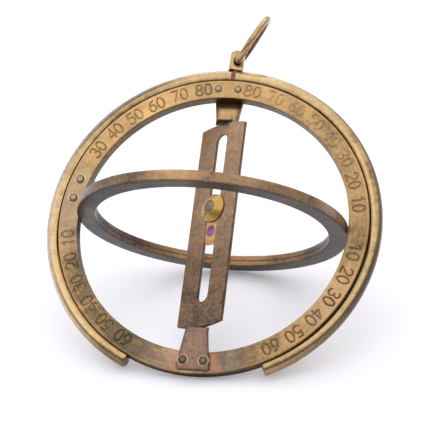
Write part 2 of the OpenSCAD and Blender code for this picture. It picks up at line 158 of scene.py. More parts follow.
@dataclass(frozen=True)
class Finish:
    """A finish: one node material with one shader."""

    name: str

    def shader(self, add: Adder) -> bpy.types.NodeSocket:
        """Adds the finish's nodes and returns its shader's output."""
        raise NotImplementedError

    def build(self) -> bpy.types.Material:
        """Builds the node material.

        Returns:
            The material.
        """
        material = bpy.data.materials.new(self.name)
        material.use_nodes = True
        tree = material.node_tree
        tree.nodes.clear()
        output = tree.nodes.new("ShaderNodeOutputMaterial")
        tree.links.new(self.shader(partial(add_node, tree)), output.inputs["Surface"])
        return material


@dataclass(frozen=True)
class AgedBrass(Finish):
    """Brass darkened by decades of air and rubbed bright again where hands and pockets reach.

    To the eye it is a soft satin metal: golden where it is rubbed, brown to olive where it is tarnished, with
    dark grime left in every cut and corner. The grime tones also paint shade in gaps, under parts and along
    edges, and the wear and pale marks carry a few painted highlights and reflections. Sizes of patterns are
    the real ones, but for the grain and the width of the tool marks: those would be about 0.05 and 0.1 mm and
    are drawn coarser so that they show.
    """

    bright: str
    dull: str
    flush: str
    dark: str
    dust: str = "#8a8378"
    pale: str = "#a89684"
    deep: str = "#564a3c"
    lacquer: float = 0.25
    lacquer_rough: float = 0.3
    rough_bright: float = 0.3
    rough_dull: float = 0.46
    rough_soil: float = 0.08
    patch_mm: float = 7.0
    mottle_mm: float = 1.1
    cloud_per_mottle: float = 2.6
    streak_mm: Flat = (16.0, 0.3)
    pit_mm: float = 0.55
    speck_mm: float = 0.4
    grain_mm: float = 0.22
    grain_height_mm: float = 0.012
    patch_share: float = 0.8
    mottle_share: float = 0.5
    streak_share: float = 0.35
    flush_share: float = 0.35
    pit_share: float = 0.25
    deep_share: float = 0.9
    wear_bias: float = 0.0
    deep_edge: Flat = (-0.3, 0.25)
    flush_edge: Flat = (0.5, 0.78)
    pit_edge: Flat = (0.12, 0.34)
    dust_edge: Flat = (0.42, 0.66)

    def shader(self, add: Adder) -> bpy.types.NodeSocket:
        """Lays tarnish, heat, bloom and dirt over the metal, with the painted shade, highlights and
        reflections that the marks carry.

        Args:
            add: Adds a node to the finish's tree.

        Returns:
            The shader's output.
        """
        place = add("TexCoord", out="Object")
        here = add("VectorMath", {"operation": "SCALE", "Scale": 1 / MM}, {0: place})
        # The grime mark also carries painted shade, and the wear and pale marks some painted highlights and
        # reflections.
        wear, grime, pale, heat = (
            add("Attribute", {"attribute_name": kind.value}, out="Fac")
            for kind in (Mark.WEAR, Mark.GRIME, Mark.PALE, Mark.FLUSH)
        )
        run = add("Attribute", {"attribute_name": RUN}, out="Vector")
        fine = 1 / self.streak_mm[1]
        drawn = add("Mapping", {"Scale": (1 / self.streak_mm[0], fine, fine)}, {"Vector": run})
        patches, mottle, streaks, clouds, specks, grain = (
            add(
                "TexNoise",
                {"Scale": 1 / size, "Detail": detail, "Roughness": rough, "Distortion": twist},
                {"Vector": where},
            )
            for where, size, detail, rough, twist in (
                (here, self.patch_mm, 5.0, 0.62, 0.6),
                (here, self.mottle_mm, 4.0, 0.6, 0.0),
                (drawn, 1.0, 3.0, 0.6, 0.0),
                (here, self.cloud_per_mottle * self.mottle_mm, 6.0, 0.7, 1.1),
                (here, self.speck_mm, 2.0, 0.7, 0.0),
                (here, self.grain_mm, 3.0, 0.55, 0.0),
            )
        )
        pits = add("TexVoronoi", {"Scale": 1 / self.pit_mm, "Randomness": 1.0}, {"Vector": here})
        # The patterns raise and lower the wear that the mesh carries, evenly about its own value.
        shares = (self.patch_share, self.mottle_share, self.streak_share)
        rubbed = add("Math", {"operation": "ADD", 1: self.wear_bias + 0.5 - sum(shares)}, {0: wear})
        for pattern, share in zip((patches, mottle, streaks), shares):
            rubbed = add("Math", {"operation": "MULTIPLY_ADD", 1: 2 * share}, {0: pattern, 2: rubbed})
        tarnished, pitted, dusty, rough = (
            add("MapRange", {"From Min": a, "From Max": b, "To Min": low, "To Max": top}, {"Value": value})
            for value, (a, b), low, top in (
                (rubbed, self.deep_edge, self.deep_share, 0.0),
                (pits, self.pit_edge, self.pit_share, 0.0),
                (specks, self.dust_edge, 0.0, 1.0),
                (rubbed, (0.0, 1.0), self.rough_dull, self.rough_bright),
            )
        )
        a, b = self.flush_edge
        reddened = add(
            "MapRange",
            {"interpolation_type": "SMOOTHSTEP", "From Min": a, "From Max": b, "To Max": self.flush_share},
            {"Value": clouds},
        )
        heated = add("Math", {"operation": "MULTIPLY_ADD"}, {0: heat, 1: clouds, 2: reddened})
        bloomed = add("Math", {"operation": "MULTIPLY"}, {0: pale, 1: mottle})
        # Dirt and painted shade darken the colour together.
        soiled_and_shaded = add("Math", {"operation": "ADD", "use_clamp": True}, {0: grime, 1: pitted})
        tones = {"data_type": "RGBA", 6: linear(self.dull), 7: linear(self.bright)}
        colour = add("Mix", tones, {0: rubbed}, 2)
        for share, over in ((tarnished, self.deep), (heated, self.flush), (bloomed, self.pale)):
            colour = add("Mix", {"data_type": "RGBA", 7: linear(over)}, {0: share, 6: colour}, 2)
        tones = {"data_type": "RGBA", 6: linear(self.dark), 7: linear(self.dust)}
        dirt = add("Mix", tones, {0: dusty}, 2)
        colour = add("Mix", {"data_type": "RGBA"}, {0: soiled_and_shaded, 6: colour, 7: dirt}, 2)
        rougher = add("Math", {"operation": "MULTIPLY_ADD", 1: self.rough_soil}, {0: soiled_and_shaded, 2: rough})
        bump = add("Bump", {"Strength": 0.5, "Distance": self.grain_height_mm * MM}, {"Height": grain})
        return add(
            "BsdfPrincipled",
            {"Metallic": 1.0, "Coat Weight": self.lacquer, "Coat Roughness": self.lacquer_rough},
            {"Base Color": colour, "Roughness": rougher, "Normal": bump},
        )


@dataclass(frozen=True)
class SpottedFinish(Finish):
    """A smooth surface of two colours, the second in soft spots over the first."""

    base: str
    over: str
    spot_mm: float
    roughness: float
    detail: float = 4.0
    spot_edge: Flat = (0.0, 1.0)
    sockets: dict[str, float] = field(default_factory=dict)

    def shader(self, add: Adder) -> bpy.types.NodeSocket:
        """Mixes the two colours by the spots.

        Args:
            add: Adds a node to the finish's tree.

        Returns:
            The shader's output.
        """
        place = add("TexCoord", out="Object")
        spots = add("TexNoise", {"Scale": 1 / (self.spot_mm * MM), "Detail": self.detail}, {"Vector": place})
        edge = {"From Min": self.spot_edge[0], "From Max": self.spot_edge[1]}
        share = add("MapRange", edge, {"Value": spots})
        tones = {"data_type": "RGBA", 6: linear(self.base), 7: linear(self.over)}
        colour = add("Mix", tones, {0: share}, 2)
        return add("BsdfPrincipled", {"Roughness": self.roughness, **self.sockets}, {"Base Color": colour})


@dataclass(frozen=True)
class StudioPaper(Finish):
    """Matt white background paper: no gleam, a faint cool shade where the dial keeps light off it."""

    name: str = "white_studio_paper"
    base: str = "#f8f8fe"
    glow: str = "#f8f9ff"
    roughness: float = 0.95
    gleam: float = 0.1
    tooth_mm: float = 1.5
    tooth_height_mm: float = 0.02
    near_white: float = 0.15
    near_m: float = 0.3
    far_m: float = 1.2

    def shader(self, add: Adder) -> bpy.types.NodeSocket:
        """Lays white over the paper where it is seen, more of it far from the dial.

        Args:
            add: Adds a node to the finish's tree.

        Returns:
            The shader's output.
        """
        place = add("TexCoord", out="Object")
        tooth = add("TexNoise", {"Scale": 1 / (self.tooth_mm * MM), "Detail": 2.0}, {"Vector": place})
        bump = add("Bump", {"Strength": 0.05, "Distance": self.tooth_height_mm * MM}, {"Height": tooth})
        shown = add("LightPath", out="Is Camera Ray")
        for kind in ("Is Glossy Ray", "Is Transmission Ray"):
            shown = add("Math", {"operation": "MAXIMUM"}, {0: shown, 1: add("LightPath", out=kind)})
        away = add("VectorMath", {"operation": "LENGTH"}, {0: place}, "Value")
        whiter = {"From Min": self.near_m, "From Max": self.far_m, "To Min": self.near_white, "To Max": 1.0}
        white = add("MapRange", whiter, {"Value": away})
        white = add("Math", {"operation": "MULTIPLY"}, {0: shown, 1: white})
        return add(
            "BsdfPrincipled",
            {
                "Base Color": linear(self.base),
                "Roughness": self.roughness,
                "Specular IOR Level": self.gleam,
                "Emission Color": linear(self.glow),
            },
            {"Normal": bump, "Emission Strength": white},
        )


@dataclass(frozen=True)
class Axes:
    """Places drawings in the row frame: a matrix from local millimetres to row metres."""

    matrix: Matrix

    @classmethod
    def of_dial(cls) -> "Axes":
        """Reads the dial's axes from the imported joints.

        Returns:
            The axes.
        """
        joints = {j["name"]: j for j in frame["joints"]}
        x = -Vector(joints["hour_ring_fold"]["axis"])
        y = Vector(joints["latitude_slide"]["axis"])
        z = Vector(joints["bridge_turn"]["axis"])
        origin = Vector(joints["bridge_turn"]["pos_m"])
        turn = Matrix((x, y, z)).transposed().to_4x4()
        return cls(Matrix.Translation(origin) @ turn @ Matrix.Scale(MM, 4))

    def moved(self, y: float = 0.0, z: float = 0.0) -> "Axes":
        """Returns these axes shifted along themselves, in millimetres."""
        return Axes(self.matrix @ Matrix.Translation((0.0, y, z)))

    def turned(self, degrees: float, axis: str) -> "Axes":
        """Returns these axes turned about one of themselves, "X", "Y" or "Z"."""
        return Axes(self.matrix @ Matrix.Rotation(math.radians(degrees), 4, axis))

    def facing_front(self) -> "Axes":
        """Returns axes with X right, Y up the polar axis and Z out of the front."""
        return self.turned(90, "X")


def ramp(values: np.ndarray, start: float, end: float) -> np.ndarray:
    """Returns 0 before start, 1 after end and a straight rise between; end may be the lower one."""
    return np.clip((values - start) / (end - start), 0, 1)


def bell(values: np.ndarray, middle: float, spread: float) -> np.ndarray:
    """Returns 1 at the middle, and less the further a value lies from it."""
    return np.exp(-(((values - middle) / spread) ** 2))


def spots_at(angles: np.ndarray, spots: Spots) -> np.ndarray:
    """Adds up soft spots that lie round a ring.

    Args:
        angles: Angles of the points, in degrees.
        spots: The spots.

    Returns:
        The sum of the spots at each point.
    """
    total = np.zeros(len(angles))
    for middle, spread, amount in spots:
        total += amount * bell((angles - middle + 180) % 360 - 180, 0.0, spread)
    return total


@dataclass
class Surface:
    """A mesh in the making: points in millimetres, faces, marks, and the run of tool marks at the points."""

    points: np.ndarray
    faces: list[Face]
    marks: dict[Mark, np.ndarray] = field(default_factory=dict)
    run: np.ndarray | None = None

    def polar(self) -> tuple[np.ndarray, np.ndarray]:
        """Returns each point's distance from Z, and its angle round Z in degrees from 0 to 360."""
        x, y = self.points[:, 0], self.points[:, 1]
        return np.hypot(x, y), np.degrees(np.arctan2(y, x)) % 360

    def mark(self, kind: Mark, values: np.ndarray) -> None:
        """Keeps a mark, the larger value winning where the point already has one."""
        old = self.marks.get(kind)
        self.marks[kind] = values if old is None else np.maximum(old, values)

    def joined(self, other: "Surface") -> "Surface":
        """Joins this surface and another.

        Args:
            other: The other surface.

        Returns:
            Both as one, this one's points first.
        """
        shift = len(self.points)
        pair = (self, other)
        marks = {
            kind: np.concatenate([s.marks.get(kind, np.zeros(len(s.points))) for s in pair])
            for kind in Mark
            if kind in self.marks or kind in other.marks
        }
        faces = self.faces + [tuple(i + shift for i in f) for f in other.faces]
        runs = [s.points if s.run is None else s.run for s in pair]
        return Surface(np.vstack([s.points for s in pair]), faces, marks, np.vstack(runs))


def rounded(corners: Sequence[Flat], radius: float, steps: int = 3) -> list[Flat]:
    """Rounds the corners of a closed outline.

    Args:
        corners: Corner points in order.
        radius: How far from each corner the rounding starts, if its sides are long enough.
        steps: Points in each rounding, less one.

    Returns:
        The outline with rounded corners.
    """
    outline = []
    for i, corner in enumerate(corners):
        here = Vector(corner)
        before = Vector(corners[i - 1]) - here
        after = Vector(corners[(i + 1) % len(corners)]) - here
        reach = min(radius, before.length * 0.45, after.length * 0.45)
        start, end = here + before.normalized() * reach, here + after.normalized() * reach
        for t in np.linspace(0, 1, steps + 1):
            point = start * (1 - t) ** 2 + here * (2 * t * (1 - t)) + end * t**2
            outline.append((point.x, point.y))
    return outline


def spaced(start: Flat, end: Flat, gap: float) -> list[Flat]:
    """Fills the line between two points, ends included.

    Args:
        start: First point.
        end: Last point.
        gap: Largest distance between neighbours.

    Returns:
        Points along the line.
    """
    count = max(1, math.ceil(math.dist(start, end) / gap))
    return [
        (start[0] + (end[0] - start[0]) * i / count, start[1] + (end[1] - start[1]) * i / count)
        for i in range(count + 1)
    ]


def grid_faces(rows: int, columns: int, round_rows: bool, round_columns: bool) -> list[Face]:
    """Joins rows of points with four-sided faces.

    Args:
        rows: Rows of points.
        columns: Points in a row.
        round_rows: Whether the last row joins the first.
        round_columns: Whether each row's last point joins its first.

    Returns:
        The faces.
    """
    faces = []
    for i in range(rows if round_rows else rows - 1):
        a, b = i * columns, (i + 1) % rows * columns
        for j in range(columns if round_columns else columns - 1):
            k = (j + 1) % columns
            faces.append((a + j, b + j, b + k, a + k))
    return faces


def revolve(profile: Sequence[Flat], steps: int) -> Surface:
    """Turns a closed profile about Z.

    Args:
        profile: Points as radius and height; a radius of 0 closes on the axis.
        steps: Points round the axis.

    Returns:
        The turned surface, its points ordered by step and then by profile point.
    """
    ring = np.array(profile)
    count = len(ring)
    angles = np.linspace(0, 2 * math.pi, steps, endpoint=False)
    points = np.empty((steps, count, 3))
    points[:, :, 0] = np.cos(angles)[:, None] * ring[None, :, 0]
    points[:, :, 1] = np.sin(angles)[:, None] * ring[None, :, 0]
    points[:, :, 2] = ring[None, :, 1]
    run = np.empty_like(points)
    run[:, :, 0] = angles[:, None] * float(ring[:, 0].max())
    run[:, :, 1:] = ring[None, :, :]
    away = [radius > ON_AXIS for radius, _ in profile]
    faces = [f for f in grid_faces(steps, count, True, True) if away[f[0] % count] or away[f[3] % count]]
    return Surface(points.reshape(-1, 3), faces, run=run.reshape(-1, 3))


def thickened(front: np.ndarray, back: np.ndarray, faces: list[Face]) -> Surface:
    """Closes a sheet: a front, the same sheet seen from behind, and walls along its edges.

    Args:
        front: Points of the front.
        back: The points behind them, in the same order.
        faces: Faces of the front.

    Returns:
        The closed surface; its first half of points is the front.
    """
    count = len(front)
    edges = dict.fromkeys((a, b) for face in faces for a, b in zip(face, face[1:] + face[:1]))
    walls = [(b, a, a + count, b + count) for a, b in edges if (b, a) not in edges]
    behind = [tuple(i + count for i in reversed(f)) for f in faces]
    return Surface(np.vstack([front, back]), faces + behind + walls)


def make_piece(
    node: str, work: str, surface: Surface, axes: Axes, body: Body, slot: Slot, material: bpy.types.Material
) -> None:
    """Makes a surface into a piece of the dial.

    Args:
        node: The frame's node that the piece stands for, or another name if it stands for none.
        work: How the piece was made, for the end of its name.
        surface: Its mesh, in millimetres.
        axes: Where it is drawn.
        body: The body that it rides on.
        slot: The record's slot; passed on, but not used.
        material: Its material.
    """
    turn = np.array(axes.matrix)
    places = surface.points @ turn[:3, :3].T + turn[:3, 3]
    mesh = bpy.data.meshes.new(f"{node}_{work}")
    mesh.from_pydata(places.tolist(), [], surface.faces)
    for kind, values in surface.marks.items():
        layer = mesh.attributes.new(kind.value, "FLOAT", "POINT")
        layer.data.foreach_set("value", values.astype(np.float32))
    run = surface.points if surface.run is None else surface.run
    layer = mesh.attributes.new(RUN, "FLOAT_VECTOR", "POINT")
    layer.data.foreach_set("vector", run.astype(np.float32).ravel())
    shape = bmesh.new()
    shape.from_mesh(mesh)
    bmesh.ops.remove_doubles(shape, verts=shape.verts, dist=MERGE_MM * MM)
    bmesh.ops.recalc_face_normals(shape, faces=shape.faces)
    shape.to_mesh(mesh)
    shape.free()
    hang_piece(node, mesh, body, slot, material, CREASE_DEG)


def hang_piece(
    node: str, mesh: bpy.types.Mesh, body: Body, slot: Slot, material: bpy.types.Material, crease_deg: float
) -> None:
    """Shades a mesh, makes it an object and hangs it on its body.

    Args:
        node: The frame's node that the piece stands for, or another name if it stands for none.
        mesh: The piece's mesh, in row metres, under the piece's name.
        body: The body that it rides on.
        slot: Not used.
        material: Its material.
        crease_deg: Edges sharper than this stay sharp in the shading.
    """
    mesh.shade_smooth()
    mesh.set_sharp_from_angle(angle=math.radians(crease_deg))
    mesh.materials.clear()
    mesh.materials.append(material)
    piece = bpy.data.objects.new(mesh.name, mesh)
    bpy.context.scene.collection.objects.link(piece)
    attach(piece, body.value)
    if node in frame["nodes"]:
        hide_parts(node)
    LOG.info("%s: %d points on %s", piece.name, len(mesh.vertices), body.value)


def eased_node(
    node: str,
    body: Body,
    slot: Slot,
    material: bpy.types.Material,
    ease_mm: float,
    edge_wear: float = 0.6,
    marked: Callable[[np.ndarray], dict[Mark, np.ndarray]] | None = None,
    axes: Axes | None = None,
    cell_mm: float = 0.4,
) -> None:
    """slot: The record's slot; passed on, but not used.
        material: Its material.
        ease_mm: Width of the eased edges.
        edge_wear: How far the eased edges are rubbed bright, from 0 to 1.
        marked: Gives marks to be added, from points in millimetres in the axes below.
        axes: Axes for the marks; the faces are then cut along them.
        cell_mm: Size of the cut faces.
    """
    mesh = frame["nodes"][node].data.copy()
    mesh.name = node + "_eased"
    shape = bmesh.new()
    shape.from_mesh(mesh)
    bmesh.ops.remove_doubles(shape, verts=shape.verts, dist=MERGE_MM * MM)
    flat, bend = math.radians(FLAT_DEG), math.radians(SHARP_DEG)
    bmesh.ops.dissolve_limit(
        shape, angle_limit=flat, verts=shape.verts, edges=shape.edges, delimit={"NORMAL"}
    )
    sharp = [e for e in shape.edges if len(e.link_faces) == 2 and e.calc_face_angle(0.0) > bend]
    eased = bmesh.ops.bevel(
        shape, geom=sharp, offset=ease_mm * MM, segments=2, profile=0.5, affect="EDGES", clamp_overlap=True
    )
    layer = shape.verts.layers.float.new(Mark.WEAR.value)
    for vertex in eased["verts"]:
        if vertex.is_valid:
            vertex[layer] = edge_wear
    if marked and axes:
        inverse = axes.matrix.inverted()
        places = np.array([inverse @ v.co for v in shape.verts])
        low, high = places.min(axis=0), places.max(axis=0)
        for i, normal in enumerate(axes.matrix.to_3x3().normalized().transposed()):
            for step in np.arange(low[i] + cell_mm, high[i], cell_mm):
                point = Vector((0.0, 0.0, 0.0))
                point[i] = step
                geometry = shape.verts[:] + shape.edges[:] + shape.faces[:]
                bmesh.ops.bisect_plane(shape, geom=geometry, plane_co=axes.matrix @ point, plane_no=normal)
        places = np.array([inverse @ v.co for v in shape.verts])
        for kind, values in marked(places).items():
            layer = shape.verts.layers.float.get(kind.value) or shape.verts.layers.float.new(kind.value)
            for vertex, value in zip(shape.verts, values):
                vertex[layer] = vertex[layer] + float(value)
    bmesh.ops.triangulate(shape, faces=[f for f in shape.faces if len(f.verts) > 4])
    shape.to_mesh(mesh)
    shape.free()
    for extra in ("custom_normal", "sharp_edge", "sharp_face"):
        found = mesh.attributes.get(extra)
        if found:
            mesh.attributes.remove(found)
    hang_piece(node, mesh, body, slot, material, EASED_CREASE_DEG)


class Figures:
    """Figures struck with punches: each is a set of centre lines in a box one unit high."""

    width = 0.6

    @staticmethod
    def bow(cx: float, cy: float, rx: float, ry: float, start: float, end: float) -> list[Flat]:
        """Draws part of an ellipse.

        Args:
            cx: Its middle, across.
            cy: Its middle, upwards.
            rx: Half its width.
            ry: Half its height.
            start: Angle of the first point, in degrees.
            end: Angle of the last point, in degrees.

        Returns:
            Points along it.
        """
        count = max(4, round(abs(end - start) / 24))
        angles = [math.radians(start + (end - start) * i / count) for i in range(count + 1)]
        return [(cx + rx * math.cos(a), cy + ry * math.sin(a)) for a in angles]

    @classmethod
    def lines(cls, figure: str) -> list[list[Flat]]:
        """Draws one digit.

        Args:
            figure: The digit.

        Returns:
            Its centre lines, each a list of points.
        """
        bow = cls.bow
        shapes = {
            "0": [bow(0.3, 0.5, 0.28, 0.5, 0, 360)],
            "1": [[(0.12, 0.8), (0.34, 1.0), (0.34, 0.0)]],
            "2": [bow(0.3, 0.71, 0.27, 0.29, 165, -35) + [(0.02, 0.0), (0.6, 0.0)]],
            "3": [bow(0.28, 0.76, 0.25, 0.24, 150, -90), bow(0.28, 0.26, 0.29, 0.26, 90, -150)],
            "4": [[(0.45, 0.0), (0.45, 1.0), (0.0, 0.3), (0.62, 0.3)]],
            "5": [[(0.54, 1.0), (0.12, 1.0), (0.08, 0.56)] + bow(0.28, 0.32, 0.3, 0.32, 120, -145)],
            "6": [bow(0.3, 0.3, 0.28, 0.3, 0, 360), bow(0.6, 0.3, 0.58, 0.7, 180, 100)],
            "7": [[(0.02, 1.0), (0.58, 1.0), (0.2, 0.0)]],
            "8": [bow(0.3, 0.76, 0.24, 0.24, 0, 360), bow(0.3, 0.26, 0.29, 0.26, 0, 360)],
            "9": [bow(0.3, 0.7, 0.28, 0.3, 0, 360), bow(0.0, 0.7, 0.58, 0.7, 0, -80)],
        }
        return shapes[figure]

    @classmethod
    def word(cls, text: str, height: float, pitch: float) -> list[np.ndarray]:
        """Sets a number in a row, centred on the origin.

        Args:
            text: Digits.
            height: Height of a figure.
            pitch: Distance from one figure to the next.

        Returns:
            Centre lines as arrays of points.
        """
        row = []
        for i, figure in enumerate(text):
            shift = (i - (len(text) - 1) / 2) * pitch - cls.width * height / 2
            row += [np.array(line) * height + np.array([shift, -height / 2]) for line in cls.lines(figure)]
        return row


def distance_to_lines(points: np.ndarray, lines: Iterable[np.ndarray]) -> np.ndarray:
    """Measures how far points lie from a set of lines.

    Args:
        points: Points in the plane, one row each.
        lines: Lines, each an array of points.

    Returns:
        The distance from each point to the nearest line.
    """
    nearest = np.full(len(points), 1e9)
    for line in lines:
        for a, b in zip(line[:-1], line[1:]):
            along = b - a
            share = np.clip((points - a) @ along / max(along @ along, 1e-12), 0, 1)
            nearest = np.minimum(nearest, np.linalg.norm(points - a - share[:, None] * along, axis=1))
    return nearest


@dataclass(frozen=True)
class Punch:
    """How a struck line cuts: a round-bottomed trough with a low burr beside it."""

    width: float = 0.28
    depth: float = 0.17
    soft: float = 0.08
    burr: float = 0.035

    def cut(self, distance: np.ndarray) -> tuple[np.ndarray, np.ndarray]:
        """Works out the cut at points near a line.

        Args:
            distance: Distance of each point from the line, in millimetres.

        Returns:
            The height of each point against the face, and its grime from 0 to 1.
        """
        edge = self.width / 2
        t = ramp(distance, edge + self.soft, edge - self.soft)
        inside = t * t * (3 - 2 * t)
        return self.burr * bell(distance, edge + 1.4 * self.soft, self.soft) - self.depth * inside, inside


@dataclass
class RingFace:
    """The flat face of a turned surface, struck with figures and lines by angle."""

    surface: Surface
    level: float
    out: float
    soil: float

    def strike(
        self,
        angle_deg: float,
        radius: float,
        lines: list[np.ndarray],
        punch: Punch,
        force: float,
        soil: float = 1.0,
    ) -> None:
        """Strikes lines into the face.

        Args:
            angle_deg: Where the middle of the lines lies, counter-clockwise from X.
            radius: Its distance from the axis.
            lines: Centre lines, X along the ring clockwise and Y outwards.
            punch: The punch.
            force: Share of the punch's full depth.
            soil: How much of the face's grime lies in the cut.
        """
        a = math.radians(angle_deg)
        up = np.array([math.cos(a), math.sin(a)])
        right = np.array([math.sin(a), -math.cos(a)]) * self.out
        centre = up * radius
        reach = 1.5 * (max(np.abs(line).max() for line in lines) + 3 * punch.soft + punch.width)
        points = self.surface.points
        on_face = np.abs(points[:, 2] - self.level) < 0.3
        near = np.flatnonzero(on_face & (np.abs(points[:, :2] - centre) < reach).all(axis=1))
        flat = points[near, :2] - centre
        height, grime = punch.cut(distance_to_lines(np.column_stack([flat @ right, flat @ up]), lines))
        points[near, 2] += height * force * self.out
        marks = np.zeros(len(points))
        marks[near] = grime * force * self.soil * soil
        self.surface.mark(Mark.GRIME, marks)


@dataclass
class Finishes:
    """The dial's materials."""

    meridian: bpy.types.Material
    hours: bpy.types.Material
    bronzed: bpy.types.Material
    polished: bpy.types.Material
    fitting: bpy.types.Material
    cursor: bpy.types.Material
    tongue: bpy.types.Material
    steel: bpy.types.Material
    ruby: bpy.types.Material
    enamel: bpy.types.Material

    @classmethod
    def made(cls) -> "Finishes":
        """Builds every material.

        Returns:
            The materials.
        """
        finishes: dict[str, Finish] = {
            # Cast, turned flat and handled for decades: warm satin gold, brown where it was never rubbed.
            "meridian": AgedBrass(
                "aged_cast_brass",
                bright="#dfb57a",
                dull="#8f7450",
                flush="#b9836a",
                dark="#3c301e",
                dust="#4f4029",
                pale="#a9988a",
                deep="#5a5045",
                mottle_share=0.4,
                rough_bright=0.29,
                rough_dull=0.4,
            ),
            # Turned and left to tarnish: brown with golden rubs, and a grey film of dirt underneath, darker
            # still as painted shade where the underside faces the shaded paper.
            "hours": AgedBrass(
                "tarnished_turned_brass",
                bright="#c39a6c",
                dull="#7d6856",
                flush="#8a5f4c",
                dark="#252322",
                dust="#615e5a",
                pale="#93877e",
                deep="#55473c",
                rough_bright=0.34,
                rough_dull=0.44,
                mottle_mm=0.8,
                patch_share=1.0,
                mottle_share=0.6,
                wear_bias=-0.15,
                streak_mm=(6.0, 0.35),
            ),
            # Rolled sheet, browned in a bronzing bath: dull reddish brown, mottled and scratched.
            "bronzed": AgedBrass(
                "bronzed_sheet_brass",
                bright="#b89476",
                dull="#735d4b",
                flush="#8e5745",
                dark="#342a24",
                dust="#54463d",
                pale="#948379",
                deep="#473a31",
                rough_bright=0.36,
                rough_dull=0.46,
                mottle_mm=0.7,
                patch_mm=4.5,
                patch_share=0.65,
                mottle_share=0.65,
                streak_share=0.2,
                flush_share=0.6,
                streak_mm=(5.0, 0.3),
            ),
            # Drawn rod and wire, kept smooth by hands: a golden gleam, a pale bloom where they don't reach;
            # the pale tone also paints a white reflection along the rod's outer side.
            "polished": AgedBrass(
                "handled_drawn_brass",
                bright="#dcbb87",
                dull="#93784e",
                flush="#b58f6c",
                dark="#3b3025",
                dust="#64574a",
                pale="#d9d0cb",
                deep="#5c4c37",
                lacquer=0.4,
                rough_bright=0.17,
                rough_dull=0.28,
                pit_share=0.15,
                streak_mm=(14.0, 0.3),
            ),
            # Wire hammered over into rivets and pins: small soft glints, a painted highlight on top of each
            # dome, dirt in the dents round them.
            "fitting": AgedBrass(
                "hammered_brass_wire",
                bright="#b79b78",
                dull="#6d5743",
                flush="#8a634c",
                dark="#2a2018",
                dust="#4c3426",
                pale="#ecd4bc",
                rough_bright=0.3,
                rough_dull=0.4,
                patch_mm=1.6,
                mottle_mm=0.5,
            ),
            # Turned on the lathe and kept bright: yellow, with fine rings that catch the light.
            "cursor": AgedBrass(
                "turned_bright_brass",
                bright="#d2aa60",
                dull="#92723a",
                flush="#b98a55",
                dark="#3f3020",
                dust="#5f4a2e",
                deep="#5d4826",
                rough_bright=0.28,
                rough_dull=0.36,
                pit_share=0.12,
                wear_bias=0.05,
                streak_mm=(4.0, 0.12),
            ),
            # Filed flat and left bright: a pale even gold with little gleam.
            "tongue": AgedBrass(
                "filed_flat_brass",
                bright="#eec08a",
                dull="#d2a272",
                flush="#c98f72",
                dark="#6b5138",
                deep="#94704c",
                rough_bright=0.4,
                rough_dull=0.46,
                pit_share=0.12,
            ),
            # Steel, turned and then browned by oil: a dark metal with faint stains and a soft gleam.
            "steel": SpottedFinish(
                "turned_browned_steel",
                base="#a39284",
                over="#64574d",
                spot_mm=0.7,
                roughness=0.36,
                sockets={"Metallic": 1.0},
            ),
            # Synthetic ruby, lapped and polished as a watch jewel: deep magenta, clear, with a sharp glint.
            "ruby": SpottedFinish(
                "polished_ruby",
                base="#c650b8",
                over="#84308f",
                spot_mm=0.8,
                roughness=0.06,
                detail=2.0,
                sockets={"IOR": 1.77, "Transmission Weight": 0.35},
            ),
            # Red cold enamel, worn in its notch: brick red, dull, chipped so that brass shows through.
            "enamel": SpottedFinish(
                "worn_red_enamel",
                base="#8c4029",
                over="#94703f",
                spot_mm=0.45,
                roughness=0.5,
                spot_edge=(0.56, 0.66),
                sockets={"IOR": 1.5},
            ),
        }
        return cls(**{name: finish.build() for name, finish in finishes.items()})


@dataclass
class Rivets:
    """A pair of rivets: each end is a dome in the dent that the hammer left, with a raised lip round it."""

    node: str
    places: Sequence[Flat]
    front: float
    back: float
    dome_r: float
    lip_r: float
    soil: float
    dome_h: float = 0.36
    lip_h: float = 0.1
    steps: int = 48

    def end(self) -> Surface:
        """Shapes one end and marks it.

        Returns:
            The end, standing on the origin.
        """
        r, h, lip_r, lip_h = self.dome_r, self.dome_h, self.lip_r, self.lip_h
        profile = [(0.0, h), (0.3 * r, 0.98 * h)]
        for a in np.radians(range(76, 0, -14)):
            profile.append((r * (0.35 + 0.65 * math.cos(a)), h * (0.1 + 0.88 * math.sin(a))))
        profile += [(r + 0.02, 0.02), (r + 0.08, 0.015), (lip_r - 0.2, 0.6 * lip_h), (lip_r - 0.14, lip_h)]
        profile += [(lip_r - 0.07, 0.8 * lip_h), (lip_r, 0.01), (lip_r, -0.1), (0.0, -0.1)]
        end = revolve(profile, self.steps)
        radii, _ = end.polar()
        dome = radii < r
        lip = bell(radii, lip_r - 0.1, 0.15)
        end.marks[Mark.GRIME] = np.maximum(0.85 * bell(radii, r + 0.06, 0.11), self.soil * dome)
        # The wear is raised on the lip and, as a painted highlight, at the top of the dome.
        end.marks[Mark.WEAR] = 1.2 * lip + 0.5 * bell(radii, 0.0, 0.45 * r) + (0.2 - self.soil) * dome
        end.marks[Mark.PALE] = (2.0 - 2.0 * self.soil) * lip
        end.marks[Mark.FLUSH] = 0.8 * (radii > r + 0.1)
        return end

    def build(self, axes: Axes, finishes: Finishes) -> None:
        """Builds both ends of both rivets.

        Args:
            axes: The dial's axes, facing front.
            finishes: The materials.
        """
        whole: Surface | None = None
        for x, y in self.places:
            for level, out in ((self.front, 1), (self.back, -1)):
                end = self.end()
                end.points = end.points * np.array([1, 1, out]) + np.array([x, y, level])
                whole = whole.joined(end) if whole else end
        make_piece(self.node, "hammered", whole, axes, Body.MERIDIAN, Slot.FITTING, finishes.fitting)


